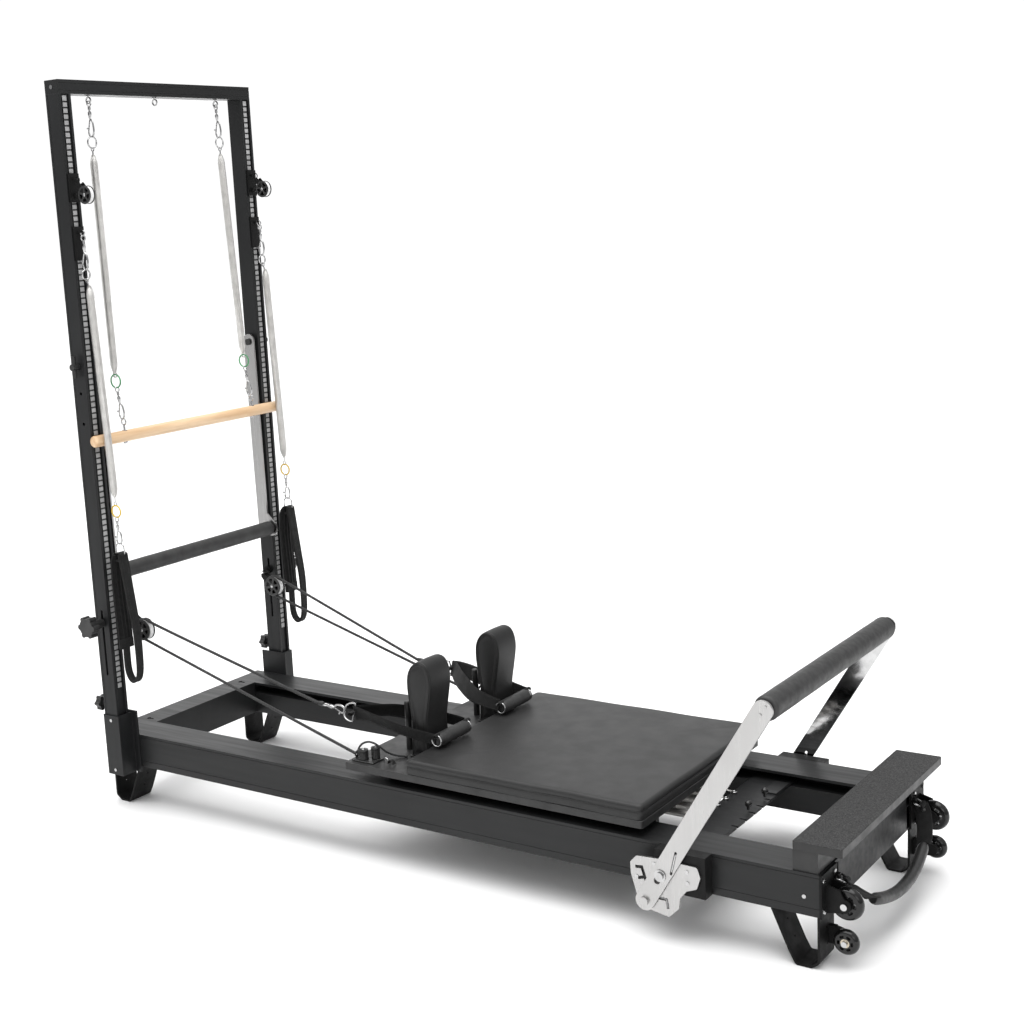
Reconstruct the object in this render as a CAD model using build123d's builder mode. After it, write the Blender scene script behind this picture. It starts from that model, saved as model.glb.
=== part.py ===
"""Pilates reformer with a half tower: sliding carriage, footbar, spring tower and pulleys.

Millimetres, +Z up. X runs from the tower end to the foot end, Y across the machine,
the origin on the floor in the middle of the whole machine.
"""

from math import cos, radians, sin, tan
import os

from build123d import *

os.makedirs("parts", exist_ok=True)

# Frame. Lengths along the machine are measured from the tower end and shifted by along().
OVERALL_LENGTH = 2420
FRAME_LENGTH = 2330
FRAME_HALF_WIDTH = 350
RAIL_BOTTOM = 130
RAIL_TOP = 234
RAIL_INNER = 234
BEAM_DEPTH = 90
GROOVE_BOTTOM = 198
GROOVE_TOP = 226
GROOVE_WALL = 290
LEG_THICKNESS = 5.5
LEG_INNER = 262

# Tower.
POST_BACK = 50
POST_FRONT = 105.5
POST_INNER = 362.4
POST_OUTER = 408.5
POST_MIDDLE = 385.4
TOWER_TOP = 2205
BEAM_UNDERSIDE = 2165
RACK_WIDTH = 16

# Footbar.
BAR_PIVOT = (1951, 174)
BAR_AXIS = (2220, 626)
BAR_ARM_Y = 396
BAR_ARM_THICKNESS = 6
PLATE_Y = 388

# Carriage.
CARRIAGE_TOWER_SIDE = 944
CARRIAGE_FOOT_SIDE = 1876
PAD_START = 1154
CARRIAGE_HALF_WIDTH = 346
BASE_BOTTOM = 257
BASE_TOP = 277
PAD_TOP = 321.6
WHEEL_AXLE_Z = 211.3
CARRIAGE_WHEEL_RADIUS = 13
SPRING_SPACING = 51.6

# Ropes and riser pulleys.
PULLEY = (150, 563)
PULLEY_Y = 305
ROPE_RADIUS = 4.3
ROPE_TURN_RADIUS = 32
ROPE_PLAY = 0.15
REEL_END = (953.5, 305, 291)
STRAP_END = (778, 245, 397)
STRAND_BEND = (222, 305, 573.6)

SIDES = (-1, 1)


def along(distance):
    """Distance from the tower end turned into an X coordinate."""
    return distance - OVERALL_LENGTH / 2


def place(distance, y, z):
    return (along(distance), y, z)


def upright(y):
    """Plane square to Y: sketch coordinates are X and Z."""
    return Plane(origin=(0, y, 0), x_dir=(1, 0, 0), z_dir=(0, -1, 0))


def facing(distance):
    """Plane square to X: sketch coordinates are Y and Z."""
    return Plane(origin=(along(distance), 0, 0), x_dir=(0, 1, 0), z_dir=(1, 0, 0))


def outline(points):
    """Closed face through points given as distance along and height."""
    with BuildLine() as border:
        Polyline(*[(along(x), z) for x, z in points], close=True)
    make_face(border.edges())


def add_box(x_range, y_range, z_range, mode=Mode.ADD):
    """Box between limits, the first pair measured from the tower end."""
    centre = place(sum(x_range) / 2, sum(y_range) / 2, sum(z_range) / 2)
    with Locations(centre):
        Box(x_range[1] - x_range[0], y_range[1] - y_range[0], z_range[1] - z_range[0], mode=mode)


def add_side_box(x_range, y_range, z_range, mode=Mode.ADD):
    """The same box on both sides of the machine."""
    add_box(x_range, y_range, z_range, mode)
    add_box(x_range, (-y_range[1], -y_range[0]), z_range, mode)


def add_rod(start, end, radius, mode=Mode.ADD):
    """Round bar from start to end."""
    direction = Vector(*end) - Vector(*start)
    with Locations(Plane(origin=start, z_dir=direction).location):
        Cylinder(radius, direction.length, align=(Align.CENTER, Align.CENTER, Align.MIN), mode=mode)


def add_tube(start, end, outer, inner):
    add_rod(start, end, outer)
    add_rod(start, end, inner, mode=Mode.SUBTRACT)


def add_ring(centre, axis, radius, wire):
    """Wire ring around an axis direction."""
    with Locations(Plane(origin=centre, z_dir=axis).location):
        Torus(radius, wire)


def add_disc(distance, z, y_near, y_far, radius, mode=Mode.ADD):
    """Disc or pin along Y between two distances from the middle, on both sides."""
    for side in SIDES:
        add_rod(place(distance, side * y_near, z), place(distance, side * y_far, z), radius, mode)


def add_snap_hook(top, bottom):
    """Swivel snap hook: eye at the top, barrel, and a long hook loop at the bottom."""
    line = Vector(*bottom) - Vector(*top)
    step = line.normalized()
    start = Vector(*top)
    across = step.cross(Vector(0, 1, 0))
    eye = start + step * 6
    add_ring(tuple(eye), tuple(across), 7, 1.9)
    add_rod(tuple(start + step * 12), tuple(start + step * (line.length - 24)), 3.6)
    add_ring(tuple(start + step * (line.length - 14)), (0, 1, 0), 12, 2.2)


def save(part, name):
    part.label = name
    export_step(part, f"parts/{name}.step")


# ---------------------------------------------------------------- base frame

for side, name in zip(SIDES, ("rail_right", "rail_left")):
    with BuildPart() as rail:
        with BuildSketch(facing(0)):
            with Locations((side * (FRAME_HALF_WIDTH + RAIL_INNER) / 2, (RAIL_TOP + RAIL_BOTTOM) / 2)):
                Rectangle(FRAME_HALF_WIDTH - RAIL_INNER, RAIL_TOP - RAIL_BOTTOM)
            # Running groove for the carriage wheels, open to the inside of the frame.
            with Locations((side * (RAIL_INNER + GROOVE_WALL) / 2, (GROOVE_TOP + GROOVE_BOTTOM) / 2)):
                Rectangle(GROOVE_WALL - RAIL_INNER, GROOVE_TOP - GROOVE_BOTTOM, mode=Mode.SUBTRACT)
            # Hollow chamber under the groove.
            with Locations((side * 292, 164)):
                Rectangle(106, 58, mode=Mode.SUBTRACT)
            # Shallow decorative lines on the outer face.
            with Locations((side * FRAME_HALF_WIDTH, 226), (side * FRAME_HALF_WIDTH, 150)):
                Rectangle(2, 1.6, mode=Mode.SUBTRACT)
        extrude(amount=FRAME_LENGTH)
    save(rail.part, name)

with BuildPart() as cross_beams:
    for start in (0, FRAME_LENGTH - BEAM_DEPTH):
        add_box((start, start + BEAM_DEPTH), (-RAIL_INNER, RAIL_INNER), (RAIL_BOTTOM, RAIL_TOP))
        hollow = (start + 5, start + BEAM_DEPTH - 5)
        add_box(hollow, (-RAIL_INNER, RAIL_INNER), (RAIL_BOTTOM + 5, RAIL_TOP - 5), Mode.SUBTRACT)
    # Two keyholes in the top of the tower end beam.
    with BuildSketch(Plane.XY.offset(RAIL_TOP - 5)):
        with Locations((along(47), -217), (along(47), 217)):
            SlotOverall(27, 8)
        with Locations((along(40), -217), (along(40), 217)):
            Circle(7)
    extrude(amount=6, mode=Mode.SUBTRACT)
save(cross_beams.part, "cross_beams")


def add_legs(turned):
    """Bent strip legs, one pair; turned mirrors the V end for end."""
    route = [(2327, 130), (2327, 17), (2307, 2.75), (2272, 2.75), (2257, 30), (2213, 130)]
    points = [(along(2333 - x if turned else x), z) for x, z in route]
    for side in SIDES:
        with BuildSketch(upright(side * (LEG_INNER + FRAME_HALF_WIDTH) / 2)) as strip:
            with BuildLine():
                FilletPolyline(*points, radius=9)
            trace(line_width=LEG_THICKNESS)
        extrude(strip.sketch, amount=(FRAME_HALF_WIDTH - LEG_INNER) / 2, both=True)


with BuildPart() as support_legs:
    add_legs(turned=False)
    add_legs(turned=True)
    # Trim the strip ends flush with the underside of the rails.
    add_box((-100, 2600), (-400, 400), (RAIL_BOTTOM, RAIL_BOTTOM + 60), Mode.SUBTRACT)
    # Holes in the upright arms.
    with BuildSketch(facing(-20)):
        with Locations((0, 70)):
            with GridLocations(612, 40, 2, 2):
                Circle(3)
    extrude(amount=2600, mode=Mode.SUBTRACT)
save(support_legs.part, "support_legs")

with BuildPart() as wheel_brackets:
    add_side_box((FRAME_LENGTH, 2336), (256, 352), (128, 233))
    # Fork cheeks and axle of the large wheels.
    for y_near in (283, 321):
        for side in SIDES:
            with BuildSketch(upright(side * (y_near + 2.5))):
                with BuildLine():
                    Polyline((along(2335), 134), (along(2335), 205), (along(2368), 196), (along(2379), 175))
                    ThreePointArc((along(2379), 175), (along(2395), 159), (along(2379), 143))
                    Line((along(2379), 143), (along(2335), 134))
                make_face()
            extrude(amount=2.5, both=True)
    add_disc(2379, 159, 283, 330, 4)
    add_disc(2379, 159, 326, 331, 8)
    # Arms and axles of the small wheels, bolted to the upright legs.
    add_side_box((2329.75, 2348), (284, 298), (48, 92))
    for side in SIDES:
        with BuildSketch(upright(side * 291)):
            with BuildLine():
                Polyline((along(2347), 50), (along(2347), 90), (along(2380), 83))
                ThreePointArc((along(2380), 83), (along(2394), 69), (along(2380), 55))
                Line((along(2380), 55), (along(2347), 50))
            make_face()
        extrude(amount=7, both=True)
    add_disc(2380, 69, 290, 330, 4)
    add_disc(2380, 69, 328.5, 333, 7)
    # Clips the carry handle's rings turn in.
    add_side_box((2335, 2346), (259, 273), (197, 211))
    add_disc(2341, 204, 252, 280, 2.25, Mode.SUBTRACT)
save(wheel_brackets.part, "wheel_brackets")

with BuildPart() as standing_board:
    add_box((2264, 2384), (-348, 348), (285, 306))
    fillet(standing_board.edges().filter_by(Axis.Z), radius=4)
    fillet(standing_board.faces().sort_by(Axis.Z)[-1].edges(), radius=2)
save(standing_board.part, "standing_board")

with BuildPart() as board_riser:
    add_box((2264, 2326), (-346, 346), (RAIL_TOP, 285))
    add_box((2269, 2321), (-341, 341), (RAIL_TOP, 280), Mode.SUBTRACT)
save(board_riser.part, "board_riser")

with BuildPart() as spring_bar:
    add_box((1903, 2015), (-288, 288), (GROOVE_BOTTOM, 204))
    # Notches for the spring hooks along the foot side.
    with BuildSketch(Plane.XY.offset(GROOVE_BOTTOM)):
        with Locations((along(2010), 0)):
            with GridLocations(1, SPRING_SPACING, 1, 5):
                SlotOverall(24, 7)
    extrude(amount=8, mode=Mode.SUBTRACT)
    add_side_box((1975, 2015), (140, 228), (204, 209))
save(spring_bar.part, "spring_bar")

# ---------------------------------------------------------------- tower

for side, name in zip(SIDES, ("post_right", "post_left")):
    with BuildPart() as post:
        with BuildSketch(Plane.XY.offset(120)):
            with Locations((along((POST_BACK + POST_FRONT) / 2), side * (POST_INNER + POST_OUTER) / 2)):
                Rectangle(POST_FRONT - POST_BACK, POST_OUTER - POST_INNER)
                offset(amount=-4, mode=Mode.SUBTRACT)
            # Front wall, thick enough to hold the channel for the toothed strip.
            with Locations((along(98.5), side * POST_MIDDLE)):
                Rectangle(14, 44)
            with Locations((along(POST_FRONT - 2.5), side * POST_MIDDLE)):
                Rectangle(7, 29, mode=Mode.SUBTRACT)
            # Thin line beside the back edge.
            with Locations((along(59), side * POST_OUTER)):
                Rectangle(1.6, 2, mode=Mode.SUBTRACT)
        extrude(amount=BEAM_UNDERSIDE - 120)
        # Long slot for the riser bolt and round holes for the tower fittings.
        with BuildSketch(upright(side * POST_MIDDLE)):
            with Locations((along(79), 537)):
                SlotOverall(208, 8.6, rotation=90)
            with Locations((along(78), 1382)):
                Circle(6.05)
            with Locations((along(79.6), 1302), (along(79.6), 1211)):
                Circle(5)
        extrude(amount=30, both=True, mode=Mode.SUBTRACT)
        # Threaded hole for the lower clamp knob.
        add_rod(place(40, side * POST_MIDDLE, 333), place(70, side * POST_MIDDLE, 333), 4.05, Mode.SUBTRACT)
    save(post.part, name)

with BuildPart() as top_beam:
    add_box((POST_BACK, POST_FRONT), (-POST_OUTER, POST_OUTER), (BEAM_UNDERSIDE, TOWER_TOP))
    add_box((POST_BACK + 4, POST_FRONT - 4), (-404, 404), (BEAM_UNDERSIDE + 4, TOWER_TOP - 4), Mode.SUBTRACT)
    for z in (2175, 2195):
        add_box((POST_FRONT - 1, POST_FRONT + 1), (-POST_OUTER, POST_OUTER), (z - 1, z + 1), Mode.SUBTRACT)
    for y in (-272, 0, 272):
        add_rod(place(80, y, 2160), place(80, y, 2170), 4, Mode.SUBTRACT)
save(top_beam.part, "top_beam")

with BuildPart() as post_sleeves:
    add_side_box((47, 112), (356, 412), (114, 306))
    add_side_box((POST_BACK, POST_FRONT), (POST_INNER, POST_OUTER), (120, 320), Mode.SUBTRACT)
    add_side_box((30, 132), (FRAME_HALF_WIDTH, 356), (114, 311))
save(post_sleeves.part, "post_sleeves")

with BuildPart() as post_racks:
    add_side_box((99.5, 103), (POST_MIDDLE - RACK_WIDTH / 2, POST_MIDDLE + RACK_WIDTH / 2), (392, 2160))
    # Tooth gaps across the strip.
    for side in SIDES:
        with BuildSketch(facing(101.5)):
            with Locations((side * POST_MIDDLE, 1276)):
                with GridLocations(1, 17, 1, 103):
                    Rectangle(RACK_WIDTH + 1, 5)
        extrude(amount=2, mode=Mode.SUBTRACT)
save(post_racks.part, "post_racks")

with BuildPart() as eye_bolts:
    for y in (-272, 0, 272):
        add_rod(place(80, y, 2158), place(80, y, 2169), 4)
        add_rod(place(80, y, 2160.5), place(80, y, 2165), 9)
        add_ring(place(80, y, 2150), (0, 1, 0), 9, 2.5)
    # Hooks the roll-down springs hang from.
    for side in SIDES:
        add_snap_hook(place(80, side * 272, 2146), place(82, side * 274, 2046))
        add_ring(place(82, side * 274.5, 2030), (1, 0, 0), 17, 1.8)
        add_rod(place(82, side * 275, 2013), place(82, side * 275, 1996), 2.2)
save(eye_bolts.part, "top_eye_bolts")


def add_carriers(z_low, z_high, ring_z):
    """Blocks riding on the toothed strips, each with an eye for a hook."""
    add_side_box((POST_FRONT + 0.4, 112), (366, 405), (z_low, z_high))
    for side in SIDES:
        add_rod(place(112, side * 386, ring_z), place(114, side * 386, ring_z), 5)
        add_ring(place(118, side * 386, ring_z), (0, 0, 1), 6, 1.8)


with BuildPart() as upper_carriers:
    add_carriers(1858, 1940, 1924)
    for side in SIDES:
        with Locations(place(118, side * 385, 1876)):
            Sphere(8)
save(upper_carriers.part, "upper_carriers")

with BuildPart() as lower_carriers:
    add_carriers(1691, 1789, 1772)
save(lower_carriers.part, "lower_carriers")

with BuildPart() as tower_pulleys:
    for side in SIDES:
        # Swivel eye and two cheeks holding the axle.
        add_ring(place(127, side * 386, 1921), (0, 1, 0), 8, 1.5)
        add_rod(place(131, side * 386, 1914), place(134, side * 386, 1907), 3)
        for offset_y in (-8, 8):
            with BuildSketch(upright(side * 386 + offset_y)):
                with BuildLine():
                    Polyline((along(128), 1908), (along(140), 1914), (along(168), 1886))
                    ThreePointArc((along(168), 1886), (along(161), 1869), (along(150), 1876))
                    Line((along(150), 1876), (along(128), 1908))
                make_face()
            extrude(amount=1.25, both=True)
        add_rod(place(159, side * 386 - 10, 1877), place(159, side * 386 + 10, 1877), 3)
        add_box((131, 137), sorted((side * 386 - 9, side * 386 + 9)), (1905, 1910))
save(tower_pulleys.part, "tower_pulley_blocks")


def add_sheave(distance, y, z, radius, thickness, bore):
    """Grooved wheel with round lightening holes, turning about Y."""
    rim = thickness / 2
    with BuildSketch(Plane(origin=place(distance, y, z), x_dir=(1, 0, 0), z_dir=(0, 0, 1))) as profile:
        with BuildLine():
            Polyline(
                (bore, -rim), (radius, -rim), (radius - 3, 0), (radius, rim), (bore, rim), close=True
            )
        make_face()
    revolve(profile.sketch, axis=Axis(place(distance, y, z), (0, 1, 0)), revolution_arc=360)
    with BuildSketch(Plane(origin=place(distance, y, z), x_dir=(1, 0, 0), z_dir=(0, -1, 0))) as holes:
        with PolarLocations((bore + radius - 4) / 2, 5):
            Circle((radius - bore) / 4.6)
    extrude(holes.sketch, amount=thickness, both=True, mode=Mode.SUBTRACT)


with BuildPart() as tower_sheaves:
    for side in SIDES:
        add_sheave(159, side * 386, 1877, 24, 12, 3.05)
save(tower_sheaves.part, "tower_sheaves")

with BuildPart() as riser_blocks:
    for side in SIDES:
        # Two cheeks, axle, and the swivel eye fixed to the post slot.
        for offset_y in (-11, 11):
            with BuildSketch(upright(side * PULLEY_Y + offset_y)):
                with BuildLine():
                    Polyline((along(104), 592), (along(110), 604), (along(156), 577))
                    ThreePointArc((along(156), 577), (along(162), 557), (along(142), 550))
                    Line((along(142), 550), (along(104), 592))
                make_face()
            extrude(amount=1.5, both=True)
        add_rod(place(150, side * 294, 563), place(150, side * 318, 563), 4)
        add_box((103, 110), sorted((side * 294, side * 331)), (593, 602))
        add_rod(place(107, side * 330, 597.5), place(92, side * 336, 600), 4)
        add_ring(place(84, side * 338, 600), (0, 0, 1), 9, 2.5)
        add_rod(place(79, side * 345.5, 600), place(79, side * 350, 600), 8)
        add_rod(place(79, side * 349, 600), place(79, side * 362.4, 600), 13)
save(riser_blocks.part, "riser_pulley_blocks")

with BuildPart() as riser_sheaves:
    for side in SIDES:
        add_sheave(PULLEY[0], side * PULLEY_Y, PULLEY[1], ROPE_TURN_RADIUS, 14, 4.05)
        # Groove deep enough for the rope to lie in.
        centre = place(PULLEY[0], side * PULLEY_Y, PULLEY[1])
        with Locations(Plane(origin=centre, z_dir=(0, 1, 0)).location):
            Torus(ROPE_TURN_RADIUS, ROPE_RADIUS + 0.6, mode=Mode.SUBTRACT)
save(riser_sheaves.part, "riser_sheaves")

with BuildPart() as upper_star_knobs:
    for side in SIDES:
        add_rod(place(79, side * 362.7, 600), place(79, side * 452, 600), 4)
        add_rod(place(79, side * 408.8, 600), place(79, side * 412, 600), 11)
        add_rod(place(79, side * 412, 600), place(79, side * 452, 600), 14)
        with BuildSketch(upright(side * 464)):
            with Locations((along(79), 600)):
                Circle(28)
                with PolarLocations(27, 6):
                    Circle(8)
        extrude(amount=13, both=True)
save(upper_star_knobs.part, "upper_star_knobs")

for side, name in zip(SIDES, ("lower_star_knob_right", "lower_star_knob_left")):
    with BuildPart() as lower_knob:
        add_rod(place(16, side * POST_MIDDLE, 333), place(60, side * POST_MIDDLE, 333), 4)
        add_rod(place(26, side * POST_MIDDLE, 333), place(44, side * POST_MIDDLE, 333), 10)
        with BuildSketch(facing(8)):
            with Locations((side * POST_MIDDLE, 333)):
                Circle(20)
                with PolarLocations(19, 6):
                    Circle(6)
        extrude(amount=20)
    save(lower_knob.part, name)

with BuildPart() as t_handles:
    for side in SIDES:
        add_rod(place(78, side * 341, 1382), place(78, side * 432, 1382), 6)
        add_rod(place(78, side * 340, 1382), place(78, side * 345.7, 1382), 11)
        add_rod(place(78, side * 408.8, 1382), place(78, side * 416, 1382), 10)
        add_rod(place(78, side * 424, 1350), place(78, side * 424, 1414), 7)
        add_rod(place(78, side * 416, 1382), place(78, side * 433, 1382), 10)
save(t_handles.part, "t_handles")

# ---------------------------------------------------------------- push-through bar

with BuildPart() as push_bar_arms:
    for side in SIDES:
        with BuildSketch(upright(side * 349)):
            with BuildLine():
                Polyline((along(100), 1388), (along(103), 800), (along(134), 770))
                ThreePointArc((along(134), 770), (along(140), 738), (along(108), 727))
                Polyline((along(108), 727), (along(62), 745), (along(56), 1388))
                ThreePointArc((along(56), 1388), (along(78), 1408), (along(100), 1388))
            make_face()
            with Locations((along(78), 1382)):
                Circle(6.05, mode=Mode.SUBTRACT)
        extrude(amount=3, both=True)
    # Steel tube through the foam, and a pull ring at each end.
    add_rod(place(114, -346, 752), place(114, 346, 752), 11)
    add_disc(114, 752, 352, 356, 6)
save(push_bar_arms.part, "push_bar_arms")

with BuildPart() as push_bar_roll:
    add_tube(place(114, -318, 752), place(114, 318, 752), 24, 11)
save(push_bar_roll.part, "push_bar_roll")

# ---------------------------------------------------------------- roll-down set

with BuildPart() as rolldown_springs:
    for side in SIDES:
        add_tube(place(82, side * 275, 1995), place(103, side * 288, 1350), 12, 9)
save(rolldown_springs.part, "rolldown_springs")

with BuildPart() as rolldown_dowel:
    add_rod(place(123.3, -416, 1160), place(123.3, 416, 1160), 17.5)
    fillet(rolldown_dowel.edges().filter_by(GeomType.CIRCLE), radius=6)
    for side in SIDES:
        add_rod(place(123.3, side * 288, 1130), place(123.3, side * 288, 1190), 3, Mode.SUBTRACT)
save(rolldown_dowel.part, "rolldown_dowel")

with BuildPart() as dowel_fittings:
    for side in SIDES:
        add_ring(place(104, side * 288, 1326), (0, 1, 0), 20, 2.4)
        add_snap_hook(place(106, side * 288, 1306), place(119, side * 288, 1214))
        add_ring(place(122.5, side * 288, 1203), (1, 0, 0), 9, 2.2)
        add_rod(place(123.3, side * 288, 1195), place(123.3, side * 288, 1138), 3)
        add_rod(place(123.3, side * 288, 1142.5), place(123.3, side * 288, 1134), 6)
save(dowel_fittings.part, "dowel_fittings")

# ---------------------------------------------------------------- arm springs with loops

for side, name in zip(SIDES, ("arm_spring_right", "arm_spring_left")):
    with BuildPart() as arm_spring:
        add_ring(place(127, side * 386, 1769), (0, 1, 0), 8, 1.5)
        add_rod(place(129, side * 386, 1761.5), place(130, side * 387, 1752), 3)
        add_snap_hook(place(129, side * 387, 1756), place(128, side * 388, 1665))
        add_ring(place(128, side * 388, 1650), (1, 0, 0), 15, 1.8)
        add_rod(place(129, side * 388.5, 1635), place(137, side * 389, 1612), 2.2)
        add_tube(place(137, side * 389, 1618), place(162, side * 388, 991), 12, 9)
        add_rod(place(162, side * 388, 995), place(162, side * 388, 966), 2.2)
        add_ring(place(162, side * 388, 948), (0, 1, 0), 18, 2.4)
        add_snap_hook(place(162, side * 388, 930), place(164, side * 388, 848))
        add_ring(place(165, side * 388, 832), (0.5, 1, 0), 17, 2.2)
    save(arm_spring.part, name)

for side, name in zip(SIDES, ("arm_loop_right", "arm_loop_left")):
    with BuildPart() as arm_loop:
        with BuildSketch(upright(side * 388)):
            with BuildLine():
                Spline(
                    (along(150), 812),
                    (along(150), 700),
                    (along(163), 560),
                    (along(171), 460),
                    (along(196), 425),
                    (along(219), 460),
                    (along(219), 580),
                    (along(200), 700),
                    (along(178), 812),
                )
            trace(line_width=4)
        extrude(amount=21, both=True)
        add_box((148, 180), sorted((side * 372, side * 404)), (806, 815))
    save(arm_loop.part, name)

# ---------------------------------------------------------------- carriage

with BuildPart() as carriage_base:
    add_box(
        (CARRIAGE_TOWER_SIDE, CARRIAGE_FOOT_SIDE),
        (-CARRIAGE_HALF_WIDTH, CARRIAGE_HALF_WIDTH),
        (BASE_BOTTOM, BASE_TOP),
    )
    fillet(carriage_base.edges().filter_by(Axis.Z), radius=8)
    fillet(carriage_base.faces().sort_by(Axis.Z)[-1].edges(), radius=2.5)
save(carriage_base.part, "carriage_base")

with BuildPart() as carriage_pad:
    add_box((PAD_START, CARRIAGE_FOOT_SIDE), (-CARRIAGE_HALF_WIDTH, CARRIAGE_HALF_WIDTH), (BASE_TOP, PAD_TOP))
    fillet(carriage_pad.edges().filter_by(Axis.Z), radius=10)
    fillet(carriage_pad.faces().sort_by(Axis.Z)[-1].edges(), radius=7)
save(carriage_pad.part, "carriage_pad")

with BuildPart() as carriage_chassis:
    add_side_box((1000, 1850), (208, 226), (196, BASE_BOTTOM))
    for start in (1000, 1420, 1832):
        add_box((start, start + 18), (-208, 208), (237, BASE_BOTTOM))
    # Angle the springs pull on.
    add_box((1104, 1110), (-208, 208), (196, BASE_BOTTOM))
    for distance in (1060, 1790):
        add_disc(distance, WHEEL_AXLE_Z, 220, 264, 4)
        add_disc(distance, WHEEL_AXLE_Z, 226, 243, 6.5)
save(carriage_chassis.part, "carriage_chassis")

for distance, name in ((1060, "tower_side_wheels"), (1790, "foot_side_wheels")):
    with BuildPart() as wheels:
        add_disc(distance, WHEEL_AXLE_Z, 245, 262, CARRIAGE_WHEEL_RADIUS)
        fillet(wheels.edges().filter_by(GeomType.CIRCLE), radius=1.5)
        add_disc(distance, WHEEL_AXLE_Z, 244, 263, 4.05, Mode.SUBTRACT)
    save(wheels.part, name)

with BuildPart() as carriage_springs:
    for index in range(5):
        y = (index - 2) * SPRING_SPACING
        add_tube(place(1122, y, 212), place(1888, y, 212), 11, 8.5)
        add_rod(place(1111, y, 212), place(1130, y, 212), 8)
        add_rod(place(1880, y, 208), place(2008, y, 208), 2)
save(carriage_springs.part, "carriage_springs")

for index, name in ((2, "spring_knob_right"), (4, "spring_knob_left")):
    with BuildPart() as knob:
        y = (index - 2) * SPRING_SPACING
        add_rod(place(1999, y, 210.4), place(1999, y, 222), 4)
        with Locations(place(1999, y, 226)):
            Sphere(9)
    save(knob.part, name)

for side, name in zip(SIDES, ("shoulder_rest_right", "shoulder_rest_left")):
    with BuildPart() as shoulder_rest:
        with BuildSketch(upright(side * 172)):
            with BuildLine():
                Spline(
                    (along(1088), 278),
                    (along(1096), 380),
                    (along(1083), 490),
                    (along(1100), 540),
                    (along(1128), 558),
                    (along(1156), 540),
                    (along(1166), 490),
                    (along(1146), 380),
                    (along(1152), 278),
                )
                Line((along(1152), 278), (along(1088), 278))
            make_face()
        extrude(amount=52, both=True)
        add_box((1084, 1153), sorted((side * 118, side * 226)), (BASE_TOP, 278.5))
    save(shoulder_rest.part, name)

with BuildPart() as rope_posts:
    for side in SIDES:
        add_rod(place(1045, side * 172, BASE_TOP), place(1045, side * 172, 420), 9)
    fillet(rope_posts.faces().sort_by(Axis.Z)[-2:].edges(), radius=5)
save(rope_posts.part, "rope_posts")

with BuildPart() as rope_reels:
    for side in SIDES:
        add_box((954, 1034), sorted((side * 276, side * 328)), (BASE_TOP, 281))
        add_rod(place(984, side * 308, 281), place(984, side * 308, 309), 15)
        add_rod(place(1012, side * 288, 281), place(1012, side * 288, 315), 13)
        add_box((955, 960), sorted((side * 296, side * 314)), (281, 300))
        with Locations(Plane(origin=place(957, side * 305, 291), z_dir=(1, 0, 0)).location):
            Cylinder(ROPE_RADIUS, 12, mode=Mode.SUBTRACT)
        # Small spare hooks resting on the plate.
        add_ring(place(1058, side * 300, 279.2), (0, 0, 1), 10, 2.2)
        add_rod(place(1068, side * 296, 281), place(1086, side * 288, 281), 4)
save(rope_reels.part, "rope_reels")


def strap_route(side, grip_shift):
    """Loop of webbing from the ring, past both sides of the shoulder rest, to the grip."""
    outer = [place(906, side * 245, 0), place(1020, side * 243, 0), place(1168, side * 236 + grip_shift, 0)]
    inner = [
        place(906, side * 240, 0),
        place(1018, side * 146, 0),
        place(1080, side * 108, 0),
        place(1168, side * 88 + grip_shift, 0),
    ]
    return outer, inner


with BuildPart() as hand_straps:
    for side, grip_shift in ((-1, 0), (1, 0)):
        for route in strap_route(side, grip_shift):
            with BuildSketch(Plane.XY.offset(322)):
                with BuildLine():
                    Spline(*[(x, y) for x, y, z in route])
                trace(line_width=2.4)
            extrude(amount=90)
    # Side view of the bands: level at the ring, sloping down to the grip.
    with BuildSketch(Plane.XZ):
        outline([(880, 362), (880, 410), (1000, 402), (1190, 362), (1190, 323), (1000, 352)])
    extrude(amount=400, both=True, mode=Mode.INTERSECT)
save(hand_straps.part, "hand_straps")

with BuildPart() as hand_grips:
    for side in SIDES:
        add_rod(place(1187, side * 91, 342), place(1187, side * 233, 342), 19)
    fillet(hand_grips.edges().filter_by(GeomType.CIRCLE), radius=3)
save(hand_grips.part, "hand_grips")

with BuildPart() as strap_fittings:
    for side in SIDES:
        add_ring(place(893, side * 245, 386), (0, 1, 0.4), 20, 2.4)
        add_snap_hook(place(797, side * 245, 396), place(872, side * 245, 388))
        # Sleeve swaged on the rope end.
        add_rod(place(779.5, side * 245, 396.8), place(798, side * 245, 396), 6)
        for y in (89, 235):
            add_ring(place(1187, side * y, 342), (0, 1, 0), 15, 1.6)
save(strap_fittings.part, "strap_fittings")

# ---------------------------------------------------------------- ropes

def wrap_corner(angle_in, angle_out):
    """Corner of the polyline whose rounded form lies on the riser pulley."""
    half_turn = radians((angle_in - angle_out) / 2)
    middle = radians((angle_in + angle_out) / 2 + 90)
    reach = (ROPE_TURN_RADIUS + ROPE_PLAY) / cos(half_turn)
    return PULLEY[0] + reach * cos(middle), PULLEY[1] + reach * sin(middle)


# Directions of the rope on its way in, behind the pulley and on its way out, in degrees.
ROPE_IN = 163.46
ROPE_BEHIND = 73
ROPE_OUT = -17.63

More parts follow.
